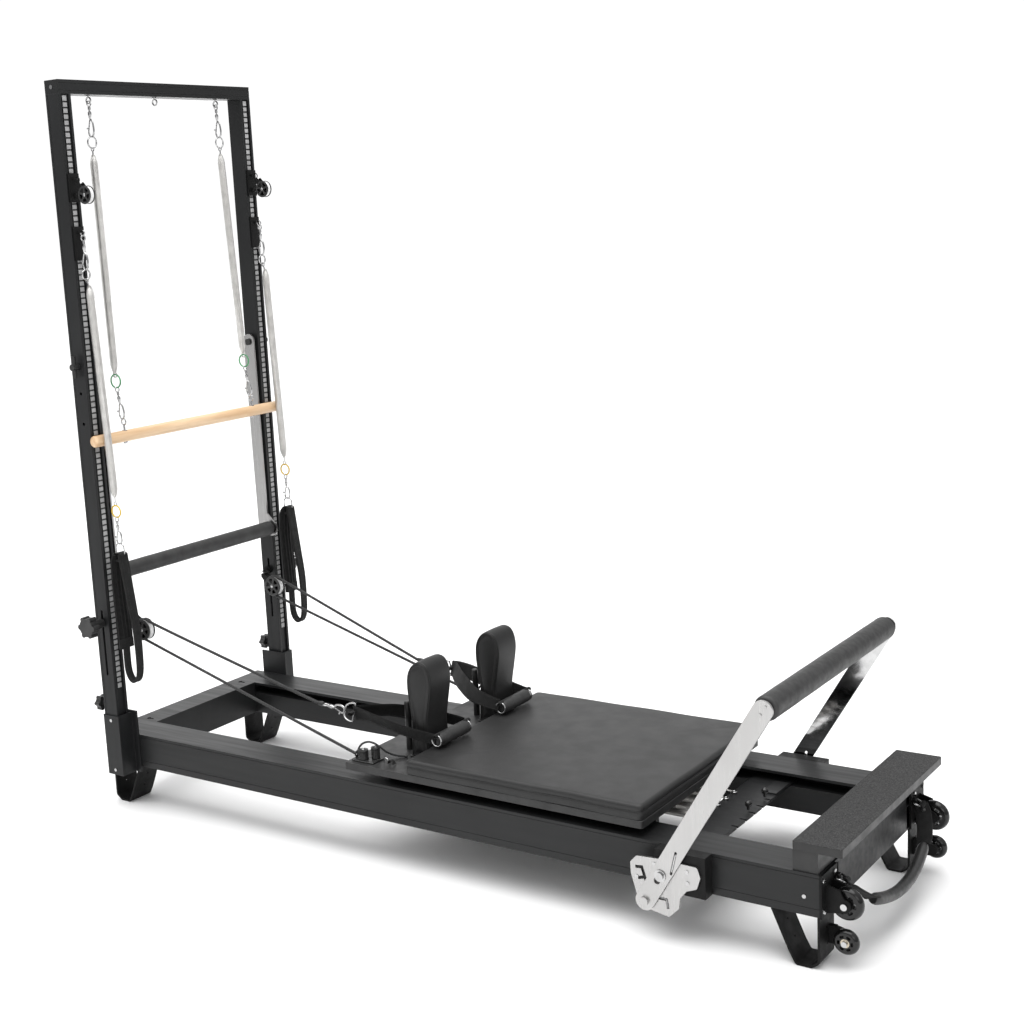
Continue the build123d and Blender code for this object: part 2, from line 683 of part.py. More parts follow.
with BuildPart() as pulley_ropes:
    for side in SIDES:
        low = wrap_corner(ROPE_IN, ROPE_BEHIND)
        high = wrap_corner(ROPE_BEHIND, ROPE_OUT)
        route = [
            place(REEL_END[0], side * REEL_END[1], REEL_END[2]),
            place(low[0], side * PULLEY_Y, low[1]),
            place(high[0], side * PULLEY_Y, high[1]),
            place(STRAND_BEND[0], side * STRAND_BEND[1], STRAND_BEND[2]),
            place(STRAP_END[0], side * STRAP_END[1], STRAP_END[2]),
        ]
        with BuildLine() as rope_line:
            FilletPolyline(*route, radius=[ROPE_TURN_RADIUS, ROPE_TURN_RADIUS, 400])
        start_direction = rope_line.line @ 0.001 - rope_line.line @ 0
        with BuildSketch(Plane(origin=route[0], z_dir=start_direction)):
            Circle(ROPE_RADIUS)
        sweep(path=rope_line.line)
save(pulley_ropes.part, "pulley_ropes")
rope_length = sum(edge.length for edge in rope_line.edges())
print("rope", round(rope_length), "turn radius", ROPE_TURN_RADIUS)
print("volume share", round(pulley_ropes.part.volume / (2 * rope_length * 3.14159 * ROPE_RADIUS**2), 3))

# ---------------------------------------------------------------- footbar

BUTTERFLY = [
    (1867, 161),
    (1866, 190),
    (1883, 209),
    (1953, 213),
    (2045, 210),
    (2053, 185),
    (2043, 155),
    (2016, 144),
    (1998, 122),
    (1995, 95),
    (1968, 68),
    (1921, 76),
    (1887, 92),
]
# Track for the lower pin: upper notch, run behind the arm, lower notch; then the middle notch.
PIN_TRACK = [
    (1880, 180.5),
    (1897.5, 182.5),
    (1903, 165),
    (1908, 149),
    (1918, 128),
    (1932, 116),
    (1946, 112),
    (1962, 112),
    (1966, 89),
]
MIDDLE_NOTCH = [(1886, 152.4), (1904, 158)]
TRACK_WIDTH = 8
ARM_ANGLE = 59.24
PIN_DISTANCE = 85.7
BAR_LIFT = 18


def on_arm(distance):
    """Point on the arm centre line, measured from the pivot towards the foam bar."""
    x = BAR_PIVOT[0] + distance * cos(radians(ARM_ANGLE))
    z = BAR_PIVOT[1] + distance * sin(radians(ARM_ANGLE))
    return along(x), z


with BuildPart() as side_plates:
    for side in SIDES:
        with BuildSketch(upright(side * (PLATE_Y + 3))) as plate_sketch:
            outline(BUTTERFLY)
            fillet(plate_sketch.vertices(), radius=7)
            with Locations((along(BAR_PIVOT[0]), BAR_PIVOT[1])):
                Circle(8.05, mode=Mode.SUBTRACT)
            for route in (PIN_TRACK, MIDDLE_NOTCH):
                with BuildLine():
                    Polyline(*[(along(x), z) for x, z in route])
                trace(line_width=TRACK_WIDTH, mode=Mode.SUBTRACT)
        extrude(amount=3, both=True)
save(side_plates.part, "footbar_side_plates")

with BuildPart() as plate_spacers:
    add_side_box((1930, 2063), (FRAME_HALF_WIDTH, PLATE_Y), (RAIL_BOTTOM, RAIL_TOP))
    add_disc(BAR_PIVOT[0], BAR_PIVOT[1], 372, 390, 8.05, Mode.SUBTRACT)
save(plate_spacers.part, "plate_spacers")

with BuildPart() as footbar_pivots:
    add_disc(BAR_PIVOT[0], BAR_PIVOT[1], 372.5, 410, 8)
    add_disc(BAR_PIVOT[0], BAR_PIVOT[1], 402.4, 405, 15)
    add_disc(BAR_PIVOT[0], BAR_PIVOT[1], 405, 410, 10)
save(footbar_pivots.part, "footbar_pivots")

with BuildPart() as footbar_arms:
    for side in SIDES:
        with BuildSketch(upright(side * (BAR_ARM_Y + BAR_ARM_THICKNESS / 2))):
            SlotCenterPoint(on_arm((526 - PIN_DISTANCE) / 2), on_arm(526), 50)
            # Slot that lets the arm lift on its pivot, and slit for the return spring.
            SlotCenterPoint(on_arm(-BAR_LIFT / 2), on_arm(0), 16.8, mode=Mode.SUBTRACT)
            with Locations((along(1987), 212)):
                SlotOverall(64, 6.4, rotation=76, mode=Mode.SUBTRACT)
        extrude(amount=BAR_ARM_THICKNESS / 2, both=True)
    bar_x, bar_z = on_arm(526)
    add_rod((bar_x, -BAR_ARM_Y, bar_z), (bar_x, BAR_ARM_Y, bar_z), 12.5)
    pin_x, pin_z = on_arm(-PIN_DISTANCE)
    for side in SIDES:
        add_rod((pin_x, side * 402, pin_z), (pin_x, side * 409, pin_z), 11)
        for distance in (514, 538):
            screw_x, screw_z = on_arm(distance)
            add_rod((screw_x, side * 402, screw_z), (screw_x, side * 404, screw_z), 4.5)
save(footbar_arms.part, "footbar_arms")

with BuildPart() as footbar_roll:
    add_tube((bar_x, -386, bar_z), (bar_x, 386, bar_z), 30.5, 12.5)
save(footbar_roll.part, "footbar_roll")

with BuildPart() as footbar_springs:
    for side in SIDES:
        add_rod(place(1981, side * 399, 190), place(1992, side * 399, 234), 2.6)
save(footbar_springs.part, "footbar_springs")

# ---------------------------------------------------------------- transport wheels and handle


def add_road_wheel(distance, z, y_inner, width, radius):
    """Rounded wheel on both sides, with a ring of openings around the hub."""
    for side in SIDES:
        middle = side * (y_inner + width / 2)
        centre = place(distance, middle, z)
        with BuildSketch(Plane(origin=centre, x_dir=(1, 0, 0), z_dir=(0, 0, 1))) as profile:
            with BuildLine():
                Line((4.05, -width / 2), (radius - 7, -width / 2))
                ThreePointArc((radius - 7, -width / 2), (radius, 0), (radius - 7, width / 2))
                Polyline((radius - 7, width / 2), (4.05, width / 2), (4.05, -width / 2))
            make_face()
        revolve(profile.sketch, axis=Axis(centre, (0, 1, 0)), revolution_arc=360)
        with BuildSketch(upright(middle)) as holes:
            with Locations((along(distance), z)):
                with PolarLocations(radius * 0.52, 6):
                    SlotOverall(radius * 0.34, radius * 0.2, rotation=90)
        extrude(holes.sketch, amount=width, both=True, mode=Mode.SUBTRACT)


with BuildPart() as large_wheels:
    add_road_wheel(2379, 159, 292.5, 24, 40)
save(large_wheels.part, "large_wheels")

with BuildPart() as small_wheels:
    add_road_wheel(2380, 69, 303, 22, 31)
save(small_wheels.part, "small_wheels")

with BuildPart() as handle_straps:
    for side in SIDES:
        # D-ring: straight bar in the clip and a bow the webbing hangs on.
        bar_ends = [place(2341, side * y, 204) for y in (251.5, 278.5)]
        add_rod(bar_ends[0], bar_ends[1], 2.2)
        with BuildLine() as bow:
            ThreePointArc(bar_ends[0], place(2361, side * 265, 196), bar_ends[1])
        with BuildSketch(Plane(origin=bow.line @ 0, z_dir=bow.line % 0)):
            Circle(2.2)
        sweep(path=bow.line)
        with Locations(*bar_ends):
            Sphere(2.2)
        # Webbing from the ring to the grip.
        top = Vector(*place(2360, side * 265, 198))
        bottom = Vector(*place(2395, side * 176, 126))
        direction = bottom - top
        across = direction.cross(Vector(1, 0, 0))
        with BuildSketch(Plane(origin=top, x_dir=across, z_dir=direction)):
            Rectangle(38, 5)
        extrude(amount=direction.length)
save(handle_straps.part, "handle_straps")

with BuildPart() as handle_grip:
    with BuildLine() as grip_line:
        ThreePointArc(place(2393, -182, 124), place(2405, 0, 88), place(2393, 182, 124))
    with BuildSketch(Plane(origin=grip_line.line @ 0, z_dir=grip_line.line % 0)):
        Circle(15)
    sweep(path=grip_line.line)
save(handle_grip.part, "handle_grip")

# ---------------------------------------------------------------- fasteners

with BuildPart() as frame_screws:
    add_disc(2293, 176, FRAME_HALF_WIDTH, 351.5, 5)
    for z in (150, 275):
        add_disc(38, z, 356, 357.5, 5)
    for distance, z in ((1932, 197), (2018, 194), (2019, 166), (1883, 156)):
        add_disc(distance, z, 394, 395.5, 5)
    for z in (130, 290):
        add_disc(79.5, z, 412, 414, 5)
    add_disc(78, 2185, POST_OUTER, 410.5, 6)
    for side in SIDES:
        for y in (276, 342):
            for z in (144, 219):
                add_rod(place(2336, side * y, z), place(2340, side * y, z), 6)
        for z in (1928, 1688, 1505):
            add_rod(place(44, side * 385, z), place(POST_BACK, side * 385, z), 7)
save(frame_screws.part, "frame_screws")
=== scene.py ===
"""Pilates reformer: finished surfaces, soft goods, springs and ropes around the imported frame."""

import random
from math import cos, hypot, pi, radians, sin

import bpy
from mathutils import Matrix, Vector


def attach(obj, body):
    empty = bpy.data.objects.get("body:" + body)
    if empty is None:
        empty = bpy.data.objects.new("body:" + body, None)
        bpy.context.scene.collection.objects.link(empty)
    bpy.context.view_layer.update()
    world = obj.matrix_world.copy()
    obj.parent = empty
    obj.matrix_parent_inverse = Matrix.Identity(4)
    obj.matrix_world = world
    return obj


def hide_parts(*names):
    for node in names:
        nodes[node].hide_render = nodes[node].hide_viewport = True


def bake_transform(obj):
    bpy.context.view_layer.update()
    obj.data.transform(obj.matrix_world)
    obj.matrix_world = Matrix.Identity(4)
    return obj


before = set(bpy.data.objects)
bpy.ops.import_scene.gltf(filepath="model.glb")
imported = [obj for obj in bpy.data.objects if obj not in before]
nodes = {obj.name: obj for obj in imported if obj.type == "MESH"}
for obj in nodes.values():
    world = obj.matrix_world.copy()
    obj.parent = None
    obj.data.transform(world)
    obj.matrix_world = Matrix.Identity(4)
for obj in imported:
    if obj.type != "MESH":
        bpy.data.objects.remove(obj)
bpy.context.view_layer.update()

HALF_LENGTH = 1.21
SIDES = (-1, 1)
NAMES = {-1: "right", 1: "left"}
X_AXIS, Y_AXIS, Z_AXIS = Vector((1, 0, 0)), Vector((0, 1, 0)), Vector((0, 0, 1))

# Places that several pieces share, in millimetres from the tower end, across, and up.
RISER_SHEAVE = (150, 305, 563)
TOWER_SHEAVE = (159, 386, 1877)
LOOP_Y = 388
EYE_BOLT_Y = 272
DOWEL_SPRING_Y = 288
GRIP_X = 1187
LARGE_WHEEL = (2379, 159)
SMALL_WHEEL = (2380, 69)


def at(distance, y, z):
    """Point from millimetres: distance along the machine from the tower end, across, and up."""
    return Vector((distance / 1000 - HALF_LENGTH, y / 1000, z / 1000))


def on_side(side):
    """The same as at(), mirrored to one side of the machine."""
    return lambda distance, y, z: at(distance, y * side, z)


def add_object(name, data):
    thing = bpy.data.objects.new(name, data)
    bpy.context.scene.collection.objects.link(thing)
    return thing


# ---------------- camera and light

def make_camera():
    yaw, pitch, roll = 0.64041, 0.18644, -0.05777
    heading = Vector((-sin(yaw), cos(yaw), 0))
    forward = heading * cos(pitch) - Z_AXIS * sin(pitch)
    level = Vector((cos(yaw), sin(yaw), 0))
    upward = level.cross(forward)
    right = level * cos(roll) + upward * sin(roll)
    up = upward * cos(roll) - level * sin(roll)
    data = bpy.data.cameras.new("camera")
    data.sensor_width = 36
    data.lens = 55.51
    data.shift_x = 0.1
    data.clip_end = 60
    camera = add_object("camera", data)
    turn = Matrix((right, up, -forward)).transposed().to_4x4()
    camera.matrix_world = Matrix.Translation(at(3639.1, -3589.9, 1771.0)) @ turn
    bpy.context.scene.camera = camera


def make_world():
    """White backdrop; what lights the model is darker towards the horizon than what the eye sees."""
    world = bpy.data.worlds.new("studio")
    world.use_nodes = True
    tree = world.node_tree
    backdrop = tree.nodes["Background"]
    backdrop.inputs["Color"].default_value = (1, 1, 1, 1)
    backdrop.inputs["Strength"].default_value = 1.05
    sky = tree.nodes.new("ShaderNodeBackground")
    where = tree.nodes.new("ShaderNodeTexCoord")
    split = tree.nodes.new("ShaderNodeSeparateXYZ")
    ramp = tree.nodes.new("ShaderNodeValToRGB")
    ramp.color_ramp.elements[0].position = 0.02
    ramp.color_ramp.elements[0].color = (0.34, 0.34, 0.35, 1)
    ramp.color_ramp.elements[1].position = 0.75
    ramp.color_ramp.elements[1].color = (0.95, 0.95, 0.95, 1)
    light_path = tree.nodes.new("ShaderNodeLightPath")
    mixed = tree.nodes.new("ShaderNodeMixShader")
    for source, target in (
        (where.outputs["Generated"], split.inputs["Vector"]),
        (split.outputs["Z"], ramp.inputs["Fac"]),
        (ramp.outputs["Color"], sky.inputs["Color"]),
        (light_path.outputs["Is Camera Ray"], mixed.inputs[0]),
        (sky.outputs["Background"], mixed.inputs[1]),
        (backdrop.outputs["Background"], mixed.inputs[2]),
        (mixed.outputs["Shader"], tree.nodes["World Output"].inputs["Surface"]),
    ):
        tree.links.new(source, target)
    bpy.context.scene.world = world


def add_area_light(name, place, target, size, power):
    data = bpy.data.lights.new(name, "AREA")
    data.shape = "RECTANGLE"
    data.size, data.size_y = size
    data.energy = power
    light = add_object(name, data)
    light.visible_camera = False
    light.location = place
    light.rotation_euler = (Vector(target) - Vector(place)).to_track_quat("-Z", "Y").to_euler()


def add_sun():
    data = bpy.data.lights.new("soft_sun", "SUN")
    data.energy = 2.1
    data.angle = 1.2
    add_object("soft_sun", data).rotation_euler = (radians(8), radians(-6), 0)


make_camera()
make_world()
bpy.context.scene.view_settings.view_transform = "Standard"
bpy.context.scene.view_settings.look = "None"
add_area_light("overhead", (0.4, -0.6, 4.6), (0.2, 0, 0), (5.0, 4.0), 75)
add_area_light("front_fill", (4.2, -3.0, 2.2), (0, 0, 0.5), (2.2, 1.6), 19)
add_area_light("far_panel", (-4.4, 4.9, 1.7), (0, 0, 0.3), (8.0, 1.8), 62)
add_sun()


# ---------------- materials

class Shader:
    """A principled material with its texture nodes added step by step."""

    def __init__(self, name, metallic=0.0, specular=0.5, coat=0.0, coat_rough=0.1, sheen=0.0):
        self.material = bpy.data.materials.new(name)
        self.material.use_nodes = True
        self.tree = self.material.node_tree
        self.inputs = self.tree.nodes["Principled BSDF"].inputs
        self.inputs["Metallic"].default_value = metallic
        self.inputs["Specular IOR Level"].default_value = specular
        self.inputs["Coat Weight"].default_value = coat
        self.inputs["Coat Roughness"].default_value = coat_rough
        self.inputs["Sheen Weight"].default_value = sheen

    def node(self, kind, values=(), **settings):
        """Adds a node; values holds pairs of an input's name and its number."""
        node = self.tree.nodes.new(kind)
        for key, value in settings.items():
            setattr(node, key, value)
        for key, value in values:
            node.inputs[key].default_value = value
        return node

    def link(self, source, target):
        self.tree.links.new(source, target)

    def texture(self, node, stretch, source, result):
        """Places a texture node by the object's coordinates or the UV map, and gives its output."""
        where = self.node("ShaderNodeTexCoord")
        mapping = self.node("ShaderNodeMapping", [("Scale", stretch)])
        self.link(where.outputs[source], mapping.inputs["Vector"])
        self.link(mapping.outputs["Vector"], node.inputs["Vector"])
        return node.outputs[result]

    def noise(self, scale, detail=3.0, stretch=(1, 1, 1)):
        noise = self.node("ShaderNodeTexNoise", [("Scale", scale), ("Detail", detail)])
        return self.texture(noise, stretch, "Object", "Fac")

    def cells(self, scale):
        cells = self.node("ShaderNodeTexVoronoi", [("Scale", scale)])
        return self.texture(cells, (1, 1, 1), "Object", "Distance")

    def wave(self, stretch, direction):
        """Stripes over the UV map, which is in metres."""
        wave = self.node("ShaderNodeTexWave", [("Scale", 1)], bands_direction=direction)
        return self.texture(wave, stretch, "UV", "Fac")

    def combine(self, first, second, operation="MULTIPLY"):
        node = self.node("ShaderNodeMath", operation=operation)
        self.link(first, node.inputs[0])
        self.link(second, node.inputs[1])
        return node.outputs["Value"]

    def tint(self, value, dark, light, start=0.35, end=0.65):
        """Colours the surface between two colours by a texture's value; a bare number is a gray."""
        ramp = self.node("ShaderNodeValToRGB")
        for element, position, color in zip(ramp.color_ramp.elements, (start, end), (dark, light)):
            element.position = position
            element.color = (color, color, color, 1) if isinstance(color, float) else (*color, 1)
        self.link(value, ramp.inputs["Fac"])
        self.link(ramp.outputs["Color"], self.inputs["Base Color"])

    def roughen(self, value, low, high):
        """Varies the roughness between two numbers by a texture's value."""
        limits = [("From Min", 0.35), ("From Max", 0.65), ("To Min", low), ("To Max", high)]
        ramp = self.node("ShaderNodeMapRange", limits)
        self.link(value, ramp.inputs["Value"])
        self.link(ramp.outputs["Result"], self.inputs["Roughness"])

    def bump(self, height, distance, strength, edge=None):
        """Adds relief; edge rounds the look of sharp edges by that radius."""
        bump = self.node("ShaderNodeBump", [("Strength", strength), ("Distance", distance)])
        self.link(height, bump.inputs["Height"])
        previous = self.inputs["Normal"]
        if previous.is_linked:
            self.link(previous.links[0].from_socket, bump.inputs["Normal"])
        elif edge:
            bevel = self.node("ShaderNodeBevel", [("Radius", edge)], samples=4)
            self.link(bevel.outputs["Normal"], bump.inputs["Normal"])
        self.link(bump.outputs["Normal"], self.inputs["Normal"])


def gray(value, warmth=0.0):
    return (value * (1 + warmth), value, value * (1 - warmth))


def surface(name, tint, rough, *reliefs, **settings):
    """Material made of noise. Each part is a noise (scale, detail, stretch) and what it drives: tint two
    colours, rough two roughnesses, a relief its depth, strength and the rounding of edges."""
    m = Shader(name, **settings)
    m.tint(m.noise(*tint[0]), *tint[1:])
    m.roughen(m.noise(*rough[0]), *rough[1:])
    for relief in reliefs:
        m.bump(m.noise(*relief[0]), *relief[1:])
    return m.material


def satin_steel(name, light):
    along = (1, 1, 0.03)
    return surface(
        name, ((5, 3), gray(light * 0.92, 0.01), gray(light, 0.01)), ((160, 3, along), 0.26, 0.38),
        ((1500, 2, along), 0.00004, 0.5, 0.0006), metallic=1.0,
    )


def plated(name, color, low, high, relief=0.00005):
    return surface(
        name, ((40, 3), tuple(c * 0.85 for c in color), color), ((90, 3), low, high),
        ((400, 2), relief, 0.4), metallic=1.0,
    )


def plastic(name, light, low=0.34, high=0.5, grain=0.00012):
    return colored_plastic(name, light * 0.8, light * 1.15, low, high, grain)


def colored_plastic(name, dark, light, low=0.3, high=0.4, grain=0.00012):
    return surface(name, ((20, 3), dark, light), ((70, 3), low, high), ((900, 2), grain, 0.5, 0.0007))


def leather(name, light):
    m = Shader(name, specular=0.36)
    m.tint(m.noise(14, 5), light * 0.82, light)
    m.roughen(m.noise(16, 4), 0.47, 0.53)
    m.bump(m.cells(520), 0.00022, 0.5)
    m.bump(m.noise(60, 4), 0.0003, 0.3)
    return m.material


def grip_surface():
    """Coarse mineral grain of the standing board."""
    m = Shader("grip_surface")
    grains = m.cells(330)
    m.tint(grains, 0.07, 0.018, 0.1, 0.5)
    m.roughen(m.noise(200, 3), 0.72, 0.95)
    m.bump(grains, 0.0012, 0.9)
    m.bump(m.noise(700, 3), 0.0005, 0.6)
    return m.material


def webbing():
    """Woven strap: ribs along it and a finer cross weave."""
    m = Shader("webbing", specular=0.2, sheen=0.06)
    weave = m.combine(m.wave((130, 130, 1), "X"), m.wave((260, 260, 1), "DIAGONAL"))
    m.tint(weave, 0.0055, 0.017, 0.1, 0.8)
    m.roughen(m.noise(40, 3), 0.7, 0.9)
    m.bump(weave, 0.0005, 0.8)
    return m.material


def rope_cover():
    """Braided rope: two crossing diagonals."""
    m = Shader("rope_cover", specular=0.3, sheen=0.15)
    braid = m.combine(m.wave((90, 90, 1), "DIAGONAL"), m.wave((90, -90, 1), "DIAGONAL"), "MAXIMUM")
    m.tint(braid, 0.010, 0.034, 0.3, 0.95)
    m.roughen(m.noise(60, 2), 0.6, 0.8)
    m.bump(braid, 0.0006, 0.8)
    return m.material


ANODISED = surface(
    "anodised_black", ((3, 4), gray(0.009, -0.03), gray(0.014, -0.03)), ((60, 3, (0.05, 1, 1)), 0.36, 0.47),
    ((900, 2, (0.04, 1, 1)), 0.00006, 0.5, 0.0012), specular=0.28,
)
POST = surface(
    "post_black", ((3, 4), gray(0.008, -0.05), gray(0.013, -0.05)), ((60, 3, (1, 1, 0.05)), 0.38, 0.5),
    ((900, 2, (1, 1, 0.04)), 0.00006, 0.5, 0.0022), specular=0.28,
)
POWDER = surface(
    "powder_black", ((8, 4), 0.006, 0.010), ((40, 3), 0.44, 0.58),
    ((1400, 2), 0.00012, 0.6, 0.0012), specular=0.14,
)
# Laminated carriage board.
BOARD = surface(
    "board_black", ((14, 5), 0.016, 0.026), ((30, 4), 0.4, 0.52),
    ((700, 3, (1, 1, 5)), 0.0001, 0.5, 0.001), specular=0.4,
)
STEEL = satin_steel("satin_steel", 0.475)
POLISHED = plated("polished_steel", gray(0.55), 0.05, 0.09, 0.000008)
DARK_STEEL = satin_steel("dark_bar_steel", 0.36)
PLATED = plated("plated_hardware", gray(0.5), 0.12, 0.26)
SPRING = plated("spring_wire", (0.69, 0.68, 0.66), 0.34, 0.46)
BEARING = plated("wheel_bearing", (0.62, 0.55, 0.44), 0.2, 0.32)
GREEN = colored_plastic("green_coating", (0.05, 0.22, 0.09), (0.09, 0.33, 0.14))
YELLOW = colored_plastic("yellow_coating", (0.5, 0.32, 0.02), (0.68, 0.45, 0.04))
LEATHER = leather("leather", 0.0195)
REST_LEATHER = leather("rest_leather", 0.0125)
# Brushed fabric of the padded sleeves.
PADDING = surface(
    "padded_fabric", ((120, 4), 0.0045, 0.011), ((60, 3), 0.75, 0.92),
    ((1500, 3), 0.0003, 0.6), ((160, 3), 0.0006, 0.35), specular=0.15, sheen=0.06,
)
FOAM = surface(
    "foam", ((25, 4), 0.016, 0.026), ((60, 3), 0.48, 0.6),
    ((1300, 3), 0.0002, 0.4), ((90, 3), 0.0002, 0.2),
)
GRIP = grip_surface()
RACK = plastic("rack_plastic", 0.34, 0.5, 0.65)
BLACK_PLASTIC = plastic("black_plastic", 0.016)
GLOSS_BLACK = plastic("gloss_black", 0.012, 0.1, 0.2, 0.00004)
WEBBING = webbing()
ROPE = rope_cover()
BEECH = surface(
    "beech", ((9, 6, (6, 0.35, 6)), (0.62, 0.40, 0.22), (0.80, 0.59, 0.38)),
    ((60, 3, (1, 0.05, 1)), 0.38, 0.52), ((500, 3, (1, 0.05, 1)), 0.0001, 0.5), coat=0.15, coat_rough=0.35,
)
WHEEL = surface(
    "glossy_wheel", ((30, 3), 0.004, 0.008), ((50, 3), 0.1, 0.22),
    ((80, 2), 0.00008, 0.4, 0.0008), specular=0.3, coat=0.2, coat_rough=0.05,
)
NYLON = surface(
    "nylon", ((30, 3), 0.72, 0.86), ((60, 3), 0.2, 0.34), ((300, 2), 0.00006, 0.4, 0.0005),
    coat=0.3,
)
FLOOR = surface(
    "floor_surface", ((1.5, 2), 0.89, 0.91), ((3, 2), 0.6, 0.75), ((400, 2), 0.0001, 0.2),
    specular=0.2,
)


# ---------------- mesh helpers

def smooth_path(points, steps, closed=False):
    """Points along a smooth curve through the given points."""
    points = [Vector(p) for p in points]
    count = len(points)
    result = []
    for i in range(count if closed else count - 1):
        if closed:
            a, b, c, d = (points[(i + k - 1) % count] for k in range(4))
        else:
            b, c = points[i], points[i + 1]
            a = points[i - 1] if i else b * 2 - c
            d = points[i + 2] if i + 2 < count else c * 2 - b
        for k in range(steps):
            t = k / steps
            square, cube = 2 * a - 5 * b + 4 * c - d, 3 * b - a - 3 * c + d
            result.append(0.5 * (2 * b + (c - a) * t + square * t**2 + cube * t**3))
    if not closed:
        result.append(points[-1])
    return result


def circle(centre, first, second, radius, count):
    """Points of a circle in the plane of two unit vectors."""
    angles = (2 * pi * k / count for k in range(count))
    return [centre + radius * (first * cos(a) + second * sin(a)) for a in angles]


def along_path(points, closed=False):
    """Each point with the path's direction there and the length travelled so far."""
    count, travelled = len(points), 0.0
    for i, point in enumerate(points):
        before = points[i - 1] if i or closed else point
        after = points[(i + 1) % count] if i + 1 < count or closed else point
        travelled += (point - points[i - 1]).length if i else 0.0
        yield point, (after - before).normalized(), travelled


def along_strap(points, across):
    """Each point with the strap's width direction, its normal and the length travelled so far."""
    for (point, tangent, travelled), lean in zip(along_path(points), across):
        side = (lean - tangent * lean.dot(tangent)).normalized()
        yield point, side, tangent.cross(side), travelled


